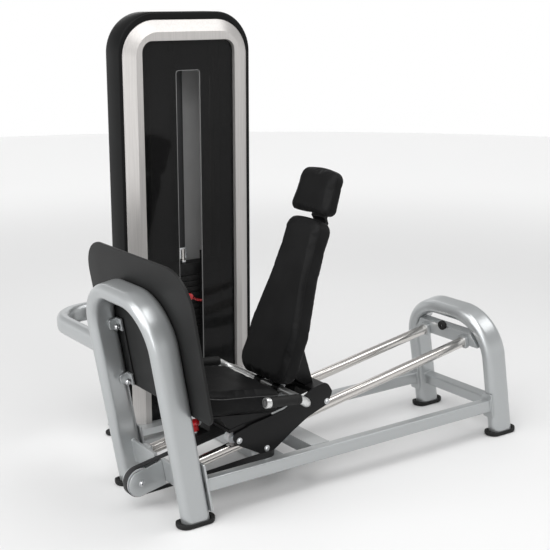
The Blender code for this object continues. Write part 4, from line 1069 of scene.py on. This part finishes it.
def piping(name, pad, outline, origin, u, v, height, skin, radius=0.0017):
    """Sewn seam: a thin welt that follows the pad's side at a height above its back."""
    origin, u, v = Vector(origin), Vector(u).normalized(), Vector(v).normalized()
    w = u.cross(v)
    graph = bpy.context.evaluated_depsgraph_get()
    skinned = pad.evaluated_get(graph).to_mesh()
    tree = BVHTree.FromPolygons([vertex.co.copy() for vertex in skinned.vertices],
                                [tuple(face.vertices) for face in skinned.polygons])
    centre = sum((Vector((p.x, p.y)) for p in outline), Vector((0, 0))) / len(outline)
    points = []
    for p in even_loop([Vector((q.x, q.y, 0)) for q in outline], 0.006):
        out = Vector((p.x - centre.x, p.y - centre.y)).normalized()
        start = origin + u * (p.x + out.x * 0.05) + v * (p.y + out.y * 0.05) + w * height
        hit = tree.ray_cast(start, -(u * out.x + v * out.y))
        if hit[0]:
            points.append(hit[0] - hit[1] * radius * 0.35)
    bm = bmesh.new()
    rings = []
    count = len(points)
    for i in range(count):
        along = (points[(i + 1) % count] - points[i - 1]).normalized()
        across = (w - along * w.dot(along)).normalized()
        other = along.cross(across)
        rings.append([bm.verts.new(points[i] + across * p.x + other * p.y) for p in circle(radius, 8)])
    for i in range(count):
        bridge(bm, rings[i - 1], rings[i])
    put(name, bm, skin, "carriage", sharp=180)


def pad_frames():
    """Back pad's lower front edge, and its upward and rearward directions."""
    upward = Vector((math.sin(BACK_TILT), 0, math.cos(BACK_TILT)))
    rearward = Vector((math.cos(BACK_TILT), 0, -math.sin(BACK_TILT)))
    return Vector((0.426, 0, 0.394)), upward, rearward


def seat():
    rearward = Vector((math.cos(SEAT_TILT), 0, -math.sin(SEAT_TILT)))
    origin = Vector((0.048, 0, 0.3600))
    outline = fillet([(0, -0.190, 0.110), (0.360, -0.190, 0.040), (0.360, 0.190, 0.040), (0, 0.190, 0.110)],
                     12)
    pad = stuffed("seat_cushion", outline, SEAT_THICKNESS, origin, rearward, Y_AXIS, 0.020, 0.007,
                  "seat_pad")
    # The seat's welt is painted a lighter grey, a painted highlight along the seat's upper edge.
    piping("seat_welt", pad, outline, origin, rearward, Y_AXIS, SEAT_THICKNESS - 0.019, SEAT_WELT_PAINTED_HIGHLIGHT)


def pan_flanges():
    """Turned-down sides of the seat pan, inside the cheeks and welded across the end of the cross box."""
    side = [Vector(p) for p in ((0.215, 0.258), (0.285, 0.275), (0.385, 0.295), (0.385, 0.3035),
                                (0.215, 0.3265))]
    bm = bmesh.new()
    for y in (-0.1535, 0.1565):
        add_slab(bm, side, 0.003, (0, y, 0), X_AXIS, Z_AXIS, 0.0006)
    put("seat_pan_flanges", bm, BLACK_STEEL, "carriage")


def back_and_head():
    origin, upward, rearward = pad_frames()
    half = [(0.155, 0, 0.075), (0.155, 0.200, 0.20), (0.114, 0.400, 0.50), (0.104, 0.626, 0.050)]
    outline = fillet(half + [(0, 0.640, 0.40)] + [(-u, v, radius) for u, v, radius in reversed(half)], 12)
    mirrored = [Vector((-p.x, p.y)) for p in outline]
    behind = origin + rearward * PAD_THICKNESS
    pad = stuffed("back_cushion", mirrored, PAD_THICKNESS, behind, -Y_AXIS, upward, 0.016, 0.006,
                  "back_pad")
    piping("back_welt", pad, mirrored, behind, -Y_AXIS, upward, PAD_THICKNESS - 0.015, VINYL)
    head = origin + upward * 0.648 + rearward * (0.006 + HEAD_THICKNESS)
    outline = fillet([(-0.122, 0, 0.032), (0.122, 0, 0.032), (0.110, 0.170, 0.045), (0, 0.185, 0.40),
                      (-0.110, 0.170, 0.045)], 10)
    pad = stuffed("head_cushion", outline, HEAD_THICKNESS, head, -Y_AXIS, upward, 0.016, 0.006, "head_pad")
    piping("head_welt", pad, outline, head, -Y_AXIS, upward, HEAD_THICKNESS - 0.014, VINYL)


def handles():
    """Bent bar with a rubber grip, an aluminium end and a collar on each side."""
    front_x, grip_x, bar_x, corner = 0.290, 0.414, 0.480, 0.045
    level, fall, low = 0.4005, 0.10, 0.356

    def height(x):
        share = min(1.0, max(0.0, (x - grip_x) / (bar_x - grip_x)))
        straight = level - fall * (x - front_x)
        return straight + (low - straight) * share * share * (3 - 2 * share)

    side = [Vector((front_x, HANDLE_Y)), Vector((0.35, HANDLE_Y)), Vector((grip_x, HANDLE_Y))]
    side += arc((bar_x - corner, HANDLE_Y - corner), corner, 90, 0, 20)
    path = [Vector((p.x, p.y, height(p.x))) for p in side]
    path += [Vector((p.x, -p.y, height(p.x))) for p in reversed(side)]
    upward = Vector((fall, 0, 1)).normalized()
    tube("handle_tube", path, upward, circle(HANDLE_RADIUS, 32), HANDLE_CHROME, "carriage",
         ("handle_bar",))
    handle_wings(bar_x, height(bar_x))
    forward = Vector((-1, 0, fall)).normalized()
    for name, y in (("near_grip", -HANDLE_Y), ("far_grip", HANDLE_Y)):
        rear = Vector((grip_x, y, height(grip_x)))
        profile = [(0.0155, 0.0), (0.0185, 0.0006), (GRIP_RADIUS, 0.003), (GRIP_RADIUS, 0.006),
                   (0.0183, 0.008)]
        for k in range(38):
            profile.append((0.0185 + 0.0007 * math.sin(k * math.pi / 2) ** 2, 0.010 + 0.0025 * k))
        profile += [(GRIP_RADIUS, 0.105), (GRIP_RADIUS, 0.117), (0.0185, 0.1195), (0.0155, 0.120)]
        turned(name + "_sleeve", profile, rear, forward, GRIP, "carriage", (name,), 40)
        cap = [(0.0150, 0.0), (0.0188, 0.001), (0.0195, 0.004), (0.0195, 0.017), (0.0185, 0.0195),
               (0.0165, 0.0205), (0.0120, 0.0202)]
        tip = rear + forward * 0.1202
        turned(name + "_end_cap", cap, tip, forward, HANDLE_CHROME, "carriage")
        plug = [(0.0118, 0.019), (0.0118, 0.0206), (0.0105, 0.0206), (0.0085, 0.0175), (0.0005, 0.0170)]
        turned(name + "_end_plug", plug, tip, forward, RUBBER, "carriage")
        collar = [(0.0146, 0), (0.0178, 0.0008), (0.0184, 0.003), (0.0184, 0.009), (0.0178, 0.011),
                  (0.0146, 0.0118)]
        turned(name + "_collar", collar, rear - forward * 0.0122, forward, RUBBER, "carriage")


def handle_wings(bar_x, level):
    """Slotted clamp plates on the handles' cross tube, with a black clamp between them."""
    ahead = Vector((-0.75, 0, -0.66)).normalized()
    bm = bmesh.new()
    slots = bmesh.new()
    for y in (-0.155, 0.085):
        start = Vector((bar_x - 0.006, 0, level - 0.004))
        add_slab(bm, rectangle(0.004, 0.040, y, y + 0.070, 0.006, 5), 0.005, start, ahead, Y_AXIS, 0.001)
        for depth in (0.0049, -0.0005):
            add_slab(slots, rectangle(0.016, 0.030, y + 0.014, y + 0.056, 0.0069, 6), 0.0006,
                     start + ahead.cross(Y_AXIS) * depth, ahead, Y_AXIS, 0)
    put("handle_wing_plates", bm, SILVER, "carriage")
    put("handle_wing_slots", slots, BLACK_STEEL, "carriage")
    bm = bmesh.new()
    for y in (-0.078, 0.038):
        add_turned(bm, rounded_profile(HANDLE_RADIUS + 0.004, 0.040, 0.002), (bar_x, y, level), Y_AXIS, 32)
    put("handle_clamps", bm, BLACK_STEEL, "carriage")


def carriage():
    cheeks()
    rollers()
    dress(("carriage_chassis", "seat_pan", "back_frame"), BLACK_STEEL, 0.0015)
    adjuster()
    start_pin()
    seat()
    pan_flanges()
    back_and_head()
    handles()


# ---------------------------------------------------------------- studio

def area_light(name, place, target, size, power):
    light = bpy.data.lights.new(name, "AREA")
    light.shape = "RECTANGLE"
    light.size, light.size_y = size
    light.energy = power
    lamp = bpy.data.objects.new(name, light)
    lamp.location = Vector(place) + ORIGIN
    aim = Vector(target) - Vector(place)
    lamp.rotation_euler = aim.to_track_quat("-Z", "Y").to_euler()
    bpy.context.scene.collection.objects.link(lamp)


def camera():
    made = bpy.data.cameras.new("camera")
    made.sensor_width = 36
    made.lens = 75.73
    eye = bpy.data.objects.new("camera", made)
    eye.location = Vector((-1.913, -3.42, 1.8)) + ORIGIN
    eye.rotation_euler = (math.radians(90 - 13.7), 0, math.radians(-35.3))
    bpy.context.scene.collection.objects.link(eye)
    bpy.context.scene.camera = eye


def sun(name, aim, strength, softness):
    """Broad even light from far away, so the whole floor gets the same."""
    light = bpy.data.lights.new(name, "SUN")
    light.energy = strength
    light.angle = math.radians(softness)
    lamp = bpy.data.objects.new(name, light)
    lamp.rotation_euler = Vector(aim).to_track_quat("-Z", "Y").to_euler()
    bpy.context.scene.collection.objects.link(lamp)


def studio():
    """Pale floor with painted light and shade in its colour, even white surroundings, a broad light from the
    front and six soft boxes.
    """
    bm = bmesh.new()
    bmesh.ops.create_circle(bm, cap_ends=True, segments=96, radius=11)
    mesh = bpy.data.meshes.new("floor")
    bm.to_mesh(mesh)
    bm.free()
    ground = Shader("studio_floor", (0.86, 0.86, 0.86), 0.6)
    ground.vary_roughness(ground.noise(2), 0.5, 0.6)
    # Painted light: the floor's colour is darker within about 3 m of its centre and lighter beyond about 7 m.
    # This is painted shade that cancels the soft boxes' pool of light round the machine, and painted light on
    # the far floor.
    painted_light_distance = ground.add("ShaderNodeVectorMath")
    painted_light_distance.operation = "LENGTH"
    ground.link(ground.place((0.1, 0.1, 0.1)), painted_light_distance.inputs[0])
    ground.vary_colour(painted_light_distance.outputs["Value"], 0.82, 1.15)
    mesh.materials.append(ground.material)
    floor = bpy.data.objects.new("floor", mesh)
    bpy.context.scene.collection.objects.link(floor)
    scene = bpy.context.scene
    world = bpy.data.worlds.new("studio")
    world.use_nodes = True
    nodes, links = world.node_tree.nodes, world.node_tree.links
    direction = nodes.new("ShaderNodeTexCoord")
    split = nodes.new("ShaderNodeSeparateXYZ")
    fade = nodes.new("ShaderNodeMapRange")
    for socket, value in (("From Min", 0.0), ("From Max", 0.4), ("To Min", 1.0), ("To Max", 0.42)):
        fade.inputs[socket].default_value = value
    nodes["Background"].inputs["Color"].default_value = (1, 1, 1, 1)
    links.new(direction.outputs["Generated"], split.inputs["Vector"])
    links.new(split.outputs["Z"], fade.inputs["Value"])
    links.new(fade.outputs["Result"], nodes["Background"].inputs["Strength"])
    scene.world = world
    scene.view_settings.view_transform = "Standard"
    sun("front_light", (0.85, 0.30, -0.90), 2.30, 65)
    area_light("side_box", (-3.4, 0.6, 2.0), (0.3, 0.1, 0.5), (1.6, 1.6), 38)
    area_light("left_box", (-3.3, -2.9, 1.0), (0.2, 0.3, 0.7), (1.2, 1.8), 20)
    area_light("high_box", (1.7, -0.5, 3.4), (0.5, 0.4, 1.0), (1.6, 0.8), 13)
    area_light("hoop_box", (0.5, -0.95, 2.9), (-0.1, -0.15, 0.75), (1.4, 1.1), 20)
    area_light("rear_hoop_box", (3.0, -1.3, 2.75), (1.5, -0.2, 0.45), (1.4, 1.1), 14)
    area_light("back_box", (1.9, 3.4, 2.6), (0.6, 0.2, 0.7), (3.0, 1.6), 12)


camera()
main_frame()
belt_drive()
tower()
carriage()
studio()
